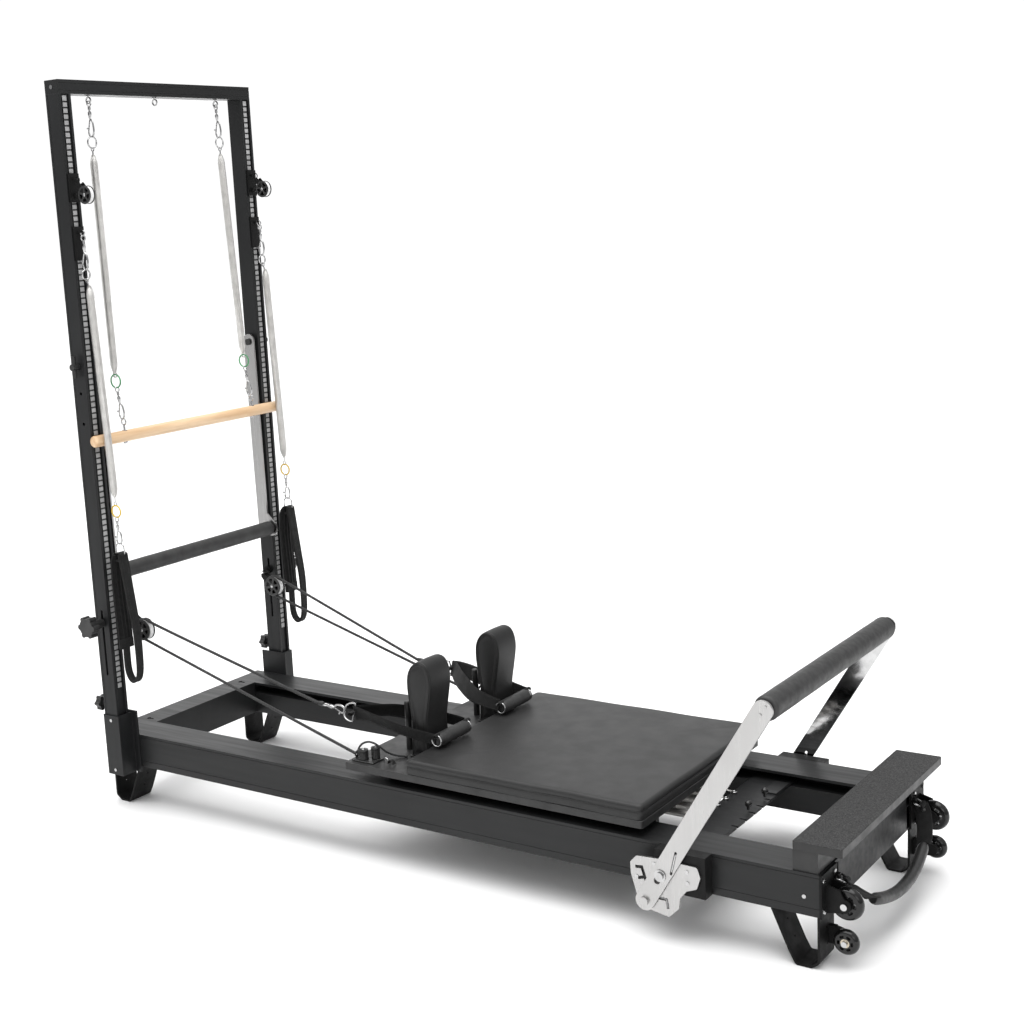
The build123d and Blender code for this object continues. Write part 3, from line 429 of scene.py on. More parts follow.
class Shape:
    """Collects faces of several parts, with UVs in metres and a material for each part."""

    def __init__(self):
        self.verts, self.faces, self.uvs, self.slots = [], [], [], []
        self.slot = 0

    def use(self, slot):
        self.slot = slot
        return self

    def face(self, corners, uvs):
        self.faces.append(corners)
        self.uvs.append(uvs)
        self.slots.append(self.slot)

    def grid(self, rings, lengths, rounds):
        """Skin over a row of closed rings; lengths run along it, rounds around it."""
        first, size = len(self.verts), len(rings[0])
        for ring in rings:
            self.verts.extend(ring)
        for i in range(len(rings) - 1):
            low = first + i * size
            high = low + size
            for k in range(size):
                m = (k + 1) % size
                u0, u1, v0, v1 = rounds[k], rounds[k + 1], lengths[i], lengths[i + 1]
                self.face([low + k, low + m, high + m, high + k], [(u0, v0), (u1, v0), (u1, v1), (u0, v1)])
        return first

    def cap(self, start, size, flip=False):
        """Closes the ring of vertices that begins at start."""
        corners = list(range(start, start + size))
        middle = len(self.verts)
        self.verts.append(sum((self.verts[c] for c in corners), Vector()) / size)
        for k in range(size):
            pair = [corners[k], corners[(k + 1) % size]]
            if flip:
                pair.reverse()
            self.face([*pair, middle], [(0, 0), (0.01, 0), (0.005, 0.01)])

    def skin(self, rings, lengths, girth):
        """Skin over rings with a cap at each end; girth is its UV width, or a list of places around it."""
        size = len(rings[0])
        rounds = girth if isinstance(girth, list) else [girth * k / size for k in range(size + 1)]
        first = self.grid(rings, lengths, rounds)
        self.cap(first, size, flip=True)
        self.cap(first + (len(rings) - 1) * size, size)
        return self

    def tube(self, points, radius, sides=12, closed=False):
        """Round wire along points; radius may be a list, one for each point."""
        radii = radius if isinstance(radius, list) else [radius] * len(points)
        rings, lengths, normal = [], [], None
        for (point, tangent, travelled), r in zip(along_path(points, closed), radii):
            if normal is None:
                normal = tangent.orthogonal().normalized()
            normal = (normal - tangent * normal.dot(tangent)).normalized()
            rings.append(circle(point, normal, tangent.cross(normal), r, sides))
            lengths.append(travelled)
        girth = 2 * pi * max(radii)
        if not closed:
            return self.skin(rings, lengths, girth)
        rounds = [girth * k / sides for k in range(sides + 1)]
        first = self.grid(rings, lengths, rounds)
        last = first + (len(points) - 1) * sides
        # The last ring meets the first one turned by a whole number of sides.
        turn = min(range(sides), key=lambda s: (rings[-1][0] - rings[0][s]).length)
        v0, v1 = lengths[-1], lengths[-1] + (points[0] - points[-1]).length
        for k in range(sides):
            m, u0, u1 = (k + 1) % sides, rounds[k], rounds[k + 1]
            corners = [last + k, last + m, first + (m + turn) % sides, first + (k + turn) % sides]
            self.face(corners, [(u0, v0), (u1, v0), (u1, v1), (u0, v1)])
        return self

    def ring(self, centre, axis, radius, wire, count=32, sides=12):
        """Closed ring of wire around an axis."""
        side = axis.cross(Z_AXIS if abs(axis.z) < 0.9 else Y_AXIS).normalized()
        return self.tube(circle(centre, side, axis.cross(side), radius, count), wire, sides, closed=True)

    def lathe(self, start, end, profile, sides=32):
        """Turned shape along an axis; the profile holds (share of the length, radius)."""
        axis = (end - start).normalized()
        side = axis.orthogonal().normalized()
        up = axis.cross(side)
        points = [start + (end - start) * share for share, _ in profile]
        rings, lengths, travelled = [], [], 0.0
        for i, (point, (_, radius)) in enumerate(zip(points, profile)):
            if i:
                travelled += hypot((point - points[i - 1]).length, radius - profile[i - 1][1])
            lengths.append(travelled)
            rings.append(circle(point, side, up, radius, sides))
        return self.skin(rings, lengths, 2 * pi * max(radius for _, radius in profile))

    def band(self, points, across, width, thickness):
        """Flat strap with rounded edges; across is its width direction, and it and width may be lists."""
        across = across if isinstance(across, list) else [across] * len(points)
        width = width if isinstance(width, list) else [width] * len(points)
        outline = [(s, 0.5 if abs(s) < 0.5 else 0.15) for s in (-0.5, -0.47, -0.25, 0, 0.25, 0.47, 0.5)]
        outline += [(s, -h) for s, h in reversed(outline)]
        rings, lengths = [], []
        for (point, side, normal, travelled), wide in zip(along_strap(points, across), width):
            rings.append([point + side * (s * wide) + normal * (h * thickness) for s, h in outline])
            lengths.append(travelled)
        return self.skin(rings, lengths, [s * max(width) for s, _ in outline + outline[:1]])

    def sleeve(self, points, across, width, thickness, pleats, drift):
        """Padded cover along a strap, gathered into pleats that run along it."""
        count, steps = len(points), 6 * pleats
        shares = [2 * k / steps - 1 for k in range(steps + 1)]
        outline = [(u, 1) for u in shares] + [(u, -1) for u in reversed(shares)]
        rings, lengths = [], []
        for i, (point, side, normal, travelled) in enumerate(along_strap(points, [across] * count)):
            share = i / (count - 1)
            puff = min(1.0, 7 * share, 7 * (1 - share)) ** 0.5
            ring = []
            for u, face in outline:
                fold = cos(pi * (pleats * u + 0.4 * sin(3 * share + drift)))
                body = max(0.15, 1 - u * u) ** 0.4
                height = thickness / 2 * body * (0.6 + 0.3 * puff + 0.24 * puff * fold)
                ring.append(point + side * (u * width / 2 * (0.94 + 0.06 * puff)) + normal * (face * height))
            rings.append(ring)
            lengths.append(travelled)
        return self.skin(rings, lengths, 2 * width)

    def stitches(self, points, across, offsets, lift, length, radius, first=3):
        """A row of short threads on both faces of a strap; offsets are its distances from the middle."""
        for i in range(first, len(points) - 3):
            along = (points[i + 1] - points[i]).normalized()
            out = along.cross(across[i]).normalized()
            for face in (-lift, lift):
                start = points[i] + across[i] * offsets[i] + out * face
                self.tube([start, start + along * length], radius, 5)

    def snap_hook(self, top, bottom, size):
        """Swivel snap hook: eye, swivel collar, tapered body, and a hook loop closed by a gate."""
        axis = (bottom - top).normalized()
        side = axis.cross(Y_AXIS).normalized()
        eye = 0.0065 * size
        self.ring(top + axis * eye, side, eye, 0.0017 * size)
        shoulder = top + axis * ((bottom - top).length * 0.48)
        body = [(0, 0.002), (0.03, 0.0042), (0.25, 0.0044), (0.3, 0.0028), (0.38, 0.0028), (0.44, 0.0052),
                (0.6, 0.0056), (0.8, 0.0044), (1, 0.003)]
        self.lathe(top + axis * eye * 2.05, shoulder, body, 20)
        wide = 0.0085 * size
        low = bottom - axis * 0.002 * size
        middle = (shoulder + low) / 2
        reach = (low - shoulder).length / 2

        def q(base, along, aside):
            return base + axis * reach * along + side * wide * aside

        hook = [shoulder, q(shoulder, 0.4, 0.9), q(middle, 0.35, 1.15), q(low, -0.12, 0.55),
                q(low, -0.1, -0.55), q(middle, 0.4, -1.05)]
        self.tube(smooth_path(hook, 6), 0.0024 * size, 10)
        gate = [q(shoulder, 0.1, -0.2), q(middle, 0.05, -0.85), q(hook[-1], -0.05, 0)]
        self.tube(smooth_path(gate, 5), 0.0017 * size, 8)
        thumb = middle - side * wide * 0.9
        tip = thumb - side * 0.006 * size
        return self.lathe(thumb, tip, [(0, 0.0016), (0.6, 0.0018), (0.7, 0.003), (1, 0.0028)], 12)

    def coil(self, start, end, radius, taper, per_turn=14):
        """Close-wound spring that narrows towards both ends."""
        axis = (end - start).normalized()
        side = axis.cross(Y_AXIS).normalized()
        up = axis.cross(side)
        length = (end - start).length
        points = []
        for i in range(int(length / COIL_PITCH * per_turn) + 1):
            along = i * COIL_PITCH / per_turn
            edge = min(along, length - along) / taper
            swell = radius if edge >= 1 else radius * (0.35 + 0.65 * sin(edge * pi / 2))
            angle = 2 * pi * i / per_turn
            points.append(start + axis * along + swell * (side * cos(angle) + up * sin(angle)))
        return self.tube(points, COIL_WIRE, 6)

    def build(self, name, materials, sharp):
        """Makes the object; edges sharper than that many degrees are shaded as creases."""
        mesh = bpy.data.meshes.new(name)
        mesh.from_pydata([tuple(v) for v in self.verts], [], self.faces)
        for material in materials:
            mesh.materials.append(material)
        uv = mesh.uv_layers.new(name="UVMap")
        uv.data.foreach_set("uv", [number for corners in self.uvs for pair in corners for number in pair])
        mesh.polygons.foreach_set("material_index", self.slots)
        mesh.polygons.foreach_set("use_smooth", [True] * len(self.faces))
        mesh.set_sharp_from_angle(angle=radians(sharp))
        mesh.update()
        return add_object(name, mesh)

    def finish(self, name, materials, body, slot, *replaced, sharp=35):
        """Makes the object; it moves with a body and stands for its CAD nodes, which it hides. slot is not
        used.
        """
        piece = self.build(name, materials, sharp)
        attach(piece, body)
        if replaced:
            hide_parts(*replaced)
        return piece

    def finish_stretched(self, name, materials, slot, replaced, *blend):
        """Makes the object fixed in world space and hides the CAD node it replaces. slot is not used. blend
        is not used; it holds two bodies and the points where each one would hold it.
        """
        piece = self.build(name, materials, 35)
        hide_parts(replaced)
        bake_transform(piece)


# ---------------- pulley ropes

# In metres: the rope's own radius, and the radius at which its middle lies on the sheave.
ROPE_RADIUS = 0.0043
WRAP_RADIUS = 0.03215


def rope_corner(angle_in, angle_out):
    """Corner of the rope's route, seen from the axle, that makes the rope lie on the riser sheave."""
    half = radians(angle_out - angle_in) / 2
    mean = radians((angle_in + angle_out) / 2 + 90)
    reach = WRAP_RADIUS / cos(half)
    return Vector((reach * cos(mean), 0, reach * sin(mean)))


def add_rope(side):
    """One rope from the cleat on the carriage, round the riser sheave, to the strap's hook."""
    p = on_side(side)
    sheave, cleat = p(*RISER_SHEAVE), p(953.5, 305, 291)
    corner_low = sheave + rope_corner(163.46, 73)
    corner_high = sheave + rope_corner(73, -17.63)
    incoming = corner_low + (cleat - corner_low).normalized() * 0.064
    route = [cleat, incoming, corner_low, corner_high, p(222, 305, 573.6), p(778, 245, 397)]
    curve = bpy.data.curves.new("rope_line_" + NAMES[side], "CURVE")
    curve.dimensions = "3D"
    curve.resolution_u = 24
    spline = curve.splines.new("NURBS")
    spline.points.add(len(route) - 1)
    for point, place in zip(spline.points, route):
        point.co = (*place, 1)
    spline.order_u = 3
    spline.use_endpoint_u = True
    line = add_object("rope_line_" + NAMES[side], curve)
    path = bpy.data.meshes.new_from_object(line)
    points = [v.co.copy() for v in path.vertices]
    bpy.data.meshes.remove(path)
    bpy.data.objects.remove(line)
    rope = Shape().tube(points, ROPE_RADIUS, 14)
    rope.finish_stretched("pulley_rope_" + NAMES[side], [ROPE], "black_rope", "pulley_ropes", "frame",
                          "carriage", at(240, 0, 400), at(760, 0, 400))


for side in SIDES:
    add_rope(side)


# ---------------- springs

# In metres: the coiled wire's radius, its pitch, and the radius and narrowing of the tower's springs.
COIL_WIRE = 0.0013
COIL_PITCH = 0.0029
TOWER_COIL = 0.0106
TOWER_TAPER = 0.03


def add_carriage_springs():
    """Five springs under the carriage, stretched between the chassis and the spring bar."""
    for i in range(5):
        y = (i - 2) * 51.6
        shape = Shape().coil(at(1122, y, 212), at(1888, y, 212), 0.0098, 0.02, 12)
        shape.tube(smooth_path([at(1884, y, 212), at(1893, y, 209.5), at(1906, y, 208.4)], 6), 0.002, 8)
        shape.use(1).ring(at(1912, y, 208.4), Z_AXIS, 0.0062, 0.0019, 24, 8)
        hook = [at(1104, y, 213), at(1112, y, 220), at(1123, y, 216)]
        shape.use(0).tube(smooth_path(hook, 5), 0.0022, 8)
        shape.finish_stretched("carriage_spring_%d" % (i + 1), [SPRING, PLATED], "spring_steel",
                               "carriage_springs", "frame", "carriage", at(1890, 0, 212), at(1122, 0, 212))


def add_rolldown_springs():
    """Springs from the rings under the top beam down to the coloured rings over the dowel."""
    for side in SIDES:
        p = on_side(side)
        top, low = p(82, 275, 1994), p(103, DOWEL_SPRING_Y, 1350)
        shape = Shape().coil(top, low, TOWER_COIL, TOWER_TAPER)
        shape.ring(p(104, DOWEL_SPRING_Y, 1345), Y_AXIS, 0.0075, 0.0022, 24, 8)
        shape.finish_stretched("rolldown_spring_" + NAMES[side], [SPRING], "spring_steel", "rolldown_springs",
                               "frame", "rolldown_set", top, low)


def add_arm_spring(side):
    """Long spring on the lower carrier with its rings, rod and snap hook."""
    name = "arm_spring_" + NAMES[side]
    p = on_side(side)
    shape = Shape().ring(p(127, 386, 1769), Y_AXIS, 0.008, 0.002)
    shape.snap_hook(p(129, 387, 1763), p(128, LOOP_Y, 1661), 1.2)
    shape.ring(p(128, LOOP_Y, 1650), X_AXIS, 0.015, 0.0022)
    shape.ring(p(130, 388.5, 1634), Y_AXIS, 0.0055, 0.0018, 20, 8)
    shape.tube([p(131, 388.5, 1630), p(137, 389, 1612)], 0.002, 8)
    shape.use(1).coil(p(137, 389, 1618), p(162, LOOP_Y, 991), TOWER_COIL, TOWER_TAPER)
    shape.use(0).tube([p(162, LOOP_Y, 995), p(162, LOOP_Y, 975)], 0.002, 8)
    shape.ring(p(162, LOOP_Y, 970), Y_AXIS, 0.006, 0.0019, 20, 8)
    shape.use(2).ring(p(162, LOOP_Y, 948), Y_AXIS, 0.018, 0.0024)
    shape.use(0).snap_hook(p(162, LOOP_Y, 932), p(164, LOOP_Y, 846), 1.15)
    d_ring = [(148, 833), (150, 845), (164, 851), (178, 845), (181, 833), (180, 820), (164, 815), (149, 820)]
    bow = smooth_path([p(x, LOOP_Y, z) for x, z in d_ring], 6, closed=True)
    shape.tube(bow, 0.0021, 10, closed=True)
    shape.finish(name + "_wire", [PLATED, SPRING, YELLOW], name, "spring_steel", name)


def add_arm_loop(side):
    """Soft loop: a padded, pleated sleeve below the D-ring, and webbing that leaves it in a round bend."""
    name = "arm_loop_" + NAMES[side]
    middle = LOOP_Y * side
    back = [(158, 818), (151, 800), (147, 745), (147, 690), (149, 620), (153, 526)]
    bend = [(152, 545), (152, 520), (152, 465), (160, 436), (177, 423), (194, 434), (203, 465), (205, 530),
            (203, 590), (195, 650), (186, 715), (178, 775), (172, 818)]
    shape = Shape()
    points = smooth_path([at(x, middle, z) for x, z in back], 10)
    shape.sleeve(points, Y_AXIS, 0.056, 0.0125, 4, 0.6)
    shape.use(2).band(points[-4:], Y_AXIS, 0.0545, 0.0115)
    points = smooth_path([at(x, middle, z) for x, z in bend], 7)
    count = len(points)
    widths = [0.024 + 0.013 * max(0, k / (count - 1) - 0.45) / 0.55 for k in range(count)]
    shape.band(points, Y_AXIS, widths, 0.0075)
    for offset in (-0.0085, 0.0085):
        shape.use(1).stitches(points, [Y_AXIS] * count, [offset] * count, 0.0038, 0.0032, 0.00035, 2)
    angles = [pi * k / 10 for k in range(11)]
    wrap = [at(163 + 14.5 * cos(a), middle, 815 + 7.5 * sin(a)) for a in angles]
    shape.use(2).band(wrap, Y_AXIS, 0.031, 0.0035)
    shape.band([at(151, middle, 803), at(163, middle, 799), at(176, middle, 803)], Y_AXIS, 0.033, 0.006)
    shape.finish(name + "_fabric", [PADDING, ROPE, WEBBING], "arm_spring_" + NAMES[side], "black_webbing",
                 name)


add_carriage_springs()
add_rolldown_springs()
for side in SIDES:
    add_arm_spring(side)
    add_arm_loop(side)


# ---------------- tower hardware

def add_top_fittings():
    """Eye bolts under the top beam with the hooks and rings that hold the roll-down springs."""
    shape = Shape()
    shank = [(0, 0.0024), (0.3, 0.0034), (0.5, 0.0034), (0.55, 0.006), (1, 0.006)]
    for y in (-EYE_BOLT_Y, 0, EYE_BOLT_Y):
        shape.ring(at(80, y, 2150), Y_AXIS, 0.009, 0.0025)
        shape.lathe(at(80, y, 2159.5), at(80, y, 2165), shank, 20)
    for side in SIDES:
        p = on_side(side)
        shape.snap_hook(p(80, EYE_BOLT_Y, 2148), p(82, 274, 2042), 1.15)
        shape.ring(p(82, 274.5, 2030), X_AXIS, 0.017, 0.0024)
        shape.ring(p(82, 275, 2010), Y_AXIS, 0.0055, 0.0019, 20, 8)
        shape.tube([p(82, 275, 2005), p(82, 275, 1992)], 0.002, 8)
    shape.finish("top_fittings", [PLATED], "frame", "plated_steel", "top_eye_bolts")


def add_dowel_fittings():
    """Coloured ring, snap hook and eye bolt at each end of the roll-down dowel."""
    shape = Shape()
    # Each turned part of the eye bolt: where it starts and ends, its profile and its sides.
    bolt = (
        (1194.5, 1176, [(0, 0.0022), (0.1, 0.003), (1, 0.003)], 16),
        (1178.8, 1176.4, [(0, 0.004), (0.1, 0.0075), (1, 0.0078)], 24),
        (1144, 1137, [(0, 0.0075), (0.25, 0.0078), (0.3, 0.0055), (0.9, 0.0055), (1, 0.004)], 24),
    )
    for side in SIDES:
        y = DOWEL_SPRING_Y * side
        shape.use(1).ring(at(104, y, 1326), Y_AXIS, 0.02, 0.0024)
        shape.use(0).snap_hook(at(106, y, 1308), at(119, y, 1209), 1.15)
        shape.ring(at(122.5, y, 1203), Y_AXIS, 0.009, 0.0024)
        for top, low, profile, sides in bolt:
            shape.lathe(at(123, y, top), at(123, y, low), profile, sides)
    shape.finish("dowel_fittings_wire", [PLATED, GREEN], "rolldown_set", "plated_steel", "dowel_fittings")


def add_dowel():
    """Turned beech dowel with rounded ends."""
    ends = [(0.0, 0.0135), (0.0015, 0.0158), (0.004, 0.0171), (0.008, 0.0175)]
    profile = ends + [(i / 12, 0.0175) for i in range(1, 12)] + [(1 - s, r) for s, r in reversed(ends)]
    shape = Shape().lathe(at(123.3, -416, 1160), at(123.3, 416, 1160), profile, 48)
    shape.finish("dowel", [BEECH], "rolldown_set", "beech", "rolldown_dowel", sharp=60)


add_top_fittings()
add_dowel_fittings()
add_dowel()


# ---------------- ropes' ends and straps on the carriage

def add_reels(side):
    """Cleat with two drums, the rope's tail laid over it, and the small hooks behind."""
    p = on_side(side)
    shape = Shape().band([p(x, 302, 279.2) for x in (956, 994, 1032)], Y_AXIS, 0.05, 0.0036)
    for x, y, r, height in ((984, 308, 0.015, 28), (1012, 288, 0.013, 34)):
        base, top = p(x, y, 281), p(x, y, 281 + height)
        drum = [(0, r * 0.9), (0.06, r * 0.98), (0.2, r * 0.92), (0.5, r * 0.8), (0.78, r * 0.9), (0.88, r),
                (0.97, r * 0.94), (1, r * 0.7)]
        shape.use(0).lathe(base, top, drum, 40)
        for rib in circle(base, X_AXIS, Y_AXIS, r * 0.88, 12):
            shape.tube([rib + Z_AXIS * 0.004, rib + Z_AXIS * (height / 1000 - 0.003)], 0.0009, 6)
        shape.use(1).lathe(top, p(x, y, 284 + height), [(0, 0.0055), (0.6, 0.005), (1, 0.003)], 20)
    shape.use(0).ring(p(957.5, 305, 291), X_AXIS, 0.0062, 0.0026, 24, 10)
    shape.tube([p(957.5, 305, 281), p(957.5, 305, 285.5)], 0.004, 12)
    for y in (297, 307):
        shape.lathe(p(1026, y, 281), p(1026, y, 283), [(0, 0.0038), (0.6, 0.0036), (1, 0.002)], 16)
    hook = [(1050, 278), (1050, 286), (1055, 292), (1063, 289), (1064, 283)]
    shape.use(1).tube(smooth_path([p(x, 300, z) for x, z in hook], 6), 0.002, 10)
    clip = [(1066, 279), (1070, 289), (1080, 287), (1086, 279.5)]
    shape.use(0).band(smooth_path([p(x, 300, z) for x, z in clip], 6), Y_AXIS, 0.012, 0.0026)
    shape.finish("rope_cleat_" + NAMES[side], [BLACK_PLASTIC, PLATED], "carriage", "black_plastic",
                 "rope_reels")

    tail = [(960, 305, 291), (963, 303, 304), (974, 300, 320), (992, 296, 328), (1010, 290, 325),
            (1024, 280, 312), (1034, 268, 297), (1046, 254, 286), (1062, 243, 281.5), (1078, 236, 280.5)]
    rope = Shape().tube(smooth_path([p(*q) for q in tail], 7), 0.003, 10)
    sheath = [(0, 0.0032), (0.1, 0.0037), (0.8, 0.0037), (1, 0.0025)]
    rope.use(1).lathe(p(1074, 237.3, 280.8), p(1082, 234.7, 280.4), sheath, 14)
    rope.finish("rope_tail_" + NAMES[side], [ROPE, BLACK_PLASTIC], "carriage", "black_rope")


def add_strap_fittings(side):
    """D-ring on the strap, snap hook and sleeve at the rope's end, and rings at the grip's ends."""
    p = on_side(side)
    upright = Vector((0.1, side, 0.42)).normalized()
    across = upright.cross(X_AXIS).normalized()
    forward = across.cross(upright)
    centre, radius = p(900, 245, 387), 0.026
    angles = [pi * (k / 20 - 0.5) for k in range(21)]
    bow = [centre - forward * (radius * cos(a)) + across * (radius * sin(a)) for a in angles]
    bow += [centre + forward * 0.008 + across * (0.025 - 0.005 * k) for k in range(11)]
    shape = Shape().tube(bow, 0.0024, 10, closed=True)
    shape.snap_hook(p(798, 245, 396), p(878, 245, 387.5), 1.15)
    sheath = [(0, 0.0045), (0.06, 0.006), (0.5, 0.0064), (0.94, 0.006), (1, 0.004)]
    shape.use(1).lathe(p(779.5, 245, 397), p(799, 245, 396.4), sheath, 20)
    for y in (89, 235):
        shape.use(0).ring(p(GRIP_X, y, 342), Y_AXIS, 0.0155, 0.0024, 36)
    shape.finish("strap_fittings_" + NAMES[side], [PLATED, BLACK_PLASTIC], "carriage", "plated_steel",
                 "strap_fittings")


def add_hand_strap(side):
    """Webbing from the D-ring over the shoulder rest to both ends of the grip."""
    p = on_side(side)
    shape = Shape()
    # The route of each band, and how far it leans over in the middle.
    bands = (
        ([(911, 245, 386), (935, 246, 386), (965, 247, 382), (1000, 246, 375), (1060, 244, 362),
          (1120, 240, 352), (1165, 237, 347), (1182, 236, 346)], 0.34),
        ([(911, 241, 386), (930, 229, 388), (955, 203, 387), (990, 168, 384), (1018, 146, 379),
          (1048, 125, 372), (1080, 107, 364), (1120, 96, 358), (1165, 89, 352), (1182, 89, 350)], 0.3),
    )
    for route, most in bands:
        points = smooth_path([p(*q) for q in route], 7)
        last = len(points) - 1
        widths, lean = [], []
        for i in range(last + 1):
            share = i / last
            widths.append(0.047 if share < 0.6 else 0.047 - 0.012 * min(1, (share - 0.6) / 0.3))
            tilt = most * sin(pi * min(1, share * 1.15))
            along = (points[min(i + 1, last)] - points[max(i - 1, 0)]).normalized()
            level = along.cross(Z_AXIS).normalized()
            lean.append((Z_AXIS - level * (0.25 + abs(tilt)) * side).normalized())
        shape.use(0).band(points, lean, widths, 0.0026)
        for offset in (-0.4, 0.4):
            shape.use(1).stitches(points, lean, [w * offset for w in widths], 0.0014, 0.003, 0.0004)
    angles = [pi * (0.35 + k / 8) for k in range(9)]
    fold = [p(915 + 12 * cos(a), 245, 387 + 6 * sin(a)) for a in angles]
    shape.use(0).band(fold, Y_AXIS, 0.046, 0.003)
    angles = [2.6 - k * 0.5 for k in range(9)]
    for y in (236, 89):
        wrap = [p(GRIP_X + 6 * cos(a), y, 356.5 + 5 * sin(a)) for a in angles]
        shape.band(wrap, Y_AXIS, 0.024, 0.0024)
    shape.finish("hand_strap_" + NAMES[side], [WEBBING, ROPE], "carriage", "black_webbing", "hand_straps")


for side in SIDES:
    add_reels(side)
    add_strap_fittings(side)
    add_hand_strap(side)


# ---------------- foam and handle

def foam_roll(name, start, end, radius, body, replaced, round_end=0.35, rings=90):
    """Foam sleeve with rounded ends and slight unevenness along it."""
    rng = random.Random(len(name) * 7 + int(radius * 1e5))
    length = (end - start).length
    edge = radius * round_end
    angles = [pi / 2 * k / 8 for k in range(9)]
    ends = [(edge * (1 - cos(a)) / length, radius - edge + edge * sin(a)) for a in angles]
    profile = list(ends)
    phase = rng.uniform(0, 6)
    for k in range(1, rings):
        share = edge / length + (1 - 2 * edge / length) * k / rings
        profile.append((share, radius * (1 - 0.004 * (1 + sin(phase + share * 37)))))
    profile += [(1 - share, r) for share, r in reversed(ends)]
    shape = Shape().lathe(start, end, profile, 56)
    piece = shape.finish(name, [FOAM], body, "black_foam", replaced, sharp=60)


def add_handle_grip():
    """Curved smooth grip on the carrying handle."""
    route = [(2393, -182, 124), (2400, -120, 105), (2404, -60, 93), (2405, 0, 89), (2404, 60, 93),
             (2400, 120, 105), (2393, 182, 124)]
    points = smooth_path([at(*q) for q in route], 9)
    radii = [0.0147] * len(points)
    for k, r in enumerate((0.0105, 0.0131, 0.0144)):
        radii[k] = radii[-1 - k] = r
    shape = Shape().tube(points, radii, 36)
    piece = shape.finish("carry_grip", [BLACK_PLASTIC], "carry_handle", "black_foam", "handle_grip", sharp=60)


def add_handle_straps():
    """D-rings on the frame and the webbing down to each end of the grip."""
    shape = Shape()
    bow = [(2341, 251, 204), (2350, 251, 201), (2359, 256, 197), (2362, 265, 196), (2359, 274, 197),
           (2350, 279, 201), (2341, 279, 204), (2341, 265, 204)]
    strap = [(2359, 265, 200), (2364, 262, 190), (2373, 247, 176), (2384, 222, 155), (2392, 196, 136),
             (2395, 180, 127)]
    for side in SIDES:
        p = on_side(side)
        shape.use(1).tube(smooth_path([p(*q) for q in bow], 5, closed=True), 0.0024, 10, closed=True)
        points = smooth_path([p(*q) for q in strap], 7)
        lean = Vector((0.25, 0.55 * side, 0.42)).normalized()
        shape.use(0).band(points, lean, 0.036, 0.0034)
        shape.band([q + Vector((-0.0036, 0, -0.001)) for q in points[6:]], lean, 0.036, 0.0026)
        angles = [3.4 - k * 0.5 for k in range(9)]
        loop = [p(2361 + 6 * cos(a), 264, 197 + 6 * sin(a)) for a in angles]
        shape.band(loop, Vector((0.1, side, 0.2)), 0.026, 0.0028)
        screw = points[9]
        out = (points[10] - points[8]).cross(lean).normalized()
        if out.x < 0:
            out = -out
        head = [(0, 0.006), (0.5, 0.0056), (0.9, 0.003), (1, 0.002)]
        shape.use(2).lathe(screw + out * 0.0015, screw + out * 0.0045, head, 24)
    shape.finish("handle_webbing", [WEBBING, PLATED, BLACK_PLASTIC], "carry_handle", "black_webbing",
                 "handle_straps")


foam_roll("footbar_sleeve", at(2220, -386, 626), at(2220, 386, 626), 0.0305, "footbar", "footbar_roll")
foam_roll("push_bar_sleeve", at(114, -343, 752), at(114, 343, 752), 0.024, "push_bar", "push_bar_roll")
for side in SIDES:
    foam_roll("grip_" + NAMES[side], at(GRIP_X, 92 * side, 342), at(GRIP_X, 232 * side, 342), 0.019,
              "carriage", "hand_grips", round_end=0.5, rings=30)
add_handle_grip()
add_handle_straps()


# ---------------- pulley cheeks and wheel bearings

def add_spoked_cheek(shape, centre, side_y, radius, half_gap, thickness, holes):
    """Round cheek with lightening holes on one side of a sheave, with its axle's bolt head."""
    outward = Y_AXIS * side_y
    inner = centre + outward * half_gap
    outer = inner + outward * thickness
    edge = [(0, 0.76), (0, 0.97), (0.25, 1), (0.75, 1), (1, 0.97), (1, 0.76), (0, 0.76)]
    shape.use(0).lathe(inner, outer, [(share, radius * r) for share, r in edge], 48)
    shape.lathe(inner, outer, [(0, 0.002), (0, radius * 0.3), (1, radius * 0.28), (1, 0.002)], 28)
    for k in range(holes):
        a = 2 * pi * (k + 0.25) / holes
        ray = Vector((cos(a), 0, sin(a)))
        spoke = [inner.lerp(outer, 0.5) + ray * radius * share for share in (0.2, 0.5, 0.84)]
        shape.band(spoke, Y_AXIS.cross(ray), [radius * w for w in (0.34, 0.2, 0.36)], thickness * 0.96)
    head = [(0, radius * 0.17), (0.5, radius * 0.17), (1, radius * 0.12)]
    shape.use(1).lathe(outer, outer + outward * 0.0022, head, 20)


def add_cheeks(name, body, sheave, *measures):
    """Both cheeks of the sheave on each side of the machine."""
    shape = Shape()
    for side in SIDES:
        for face in SIDES:
            add_spoked_cheek(shape, on_side(side)(*sheave), face, *measures)
    shape.finish(name, [BLACK_PLASTIC, PLATED], body, "coated_black")


def add_bearings(name, body, axle, faces, radius):
    """Bearing shields in the hubs of the transport wheels; faces holds each one's place and depth."""
    shape = Shape()
    shield = [(0, 1), (0.5, 1), (0.7, 0.9), (0.7, 0.7), (1, 0.66), (1, 0.42)]
    for side in SIDES:
        for y, out in faces:
            start, depth = at(axle[0], y * side, axle[1]), Y_AXIS * side * out
            shape.lathe(start, start + depth, [(share, radius * r) for share, r in shield], 32)
            for ball in circle(start, X_AXIS, Z_AXIS, radius * 0.8, 7):
                shape.lathe(ball, ball + depth, [(0, radius * 0.07), (1, radius * 0.06)], 10)
    shape.finish(name, [BEARING], body, "plated_steel")


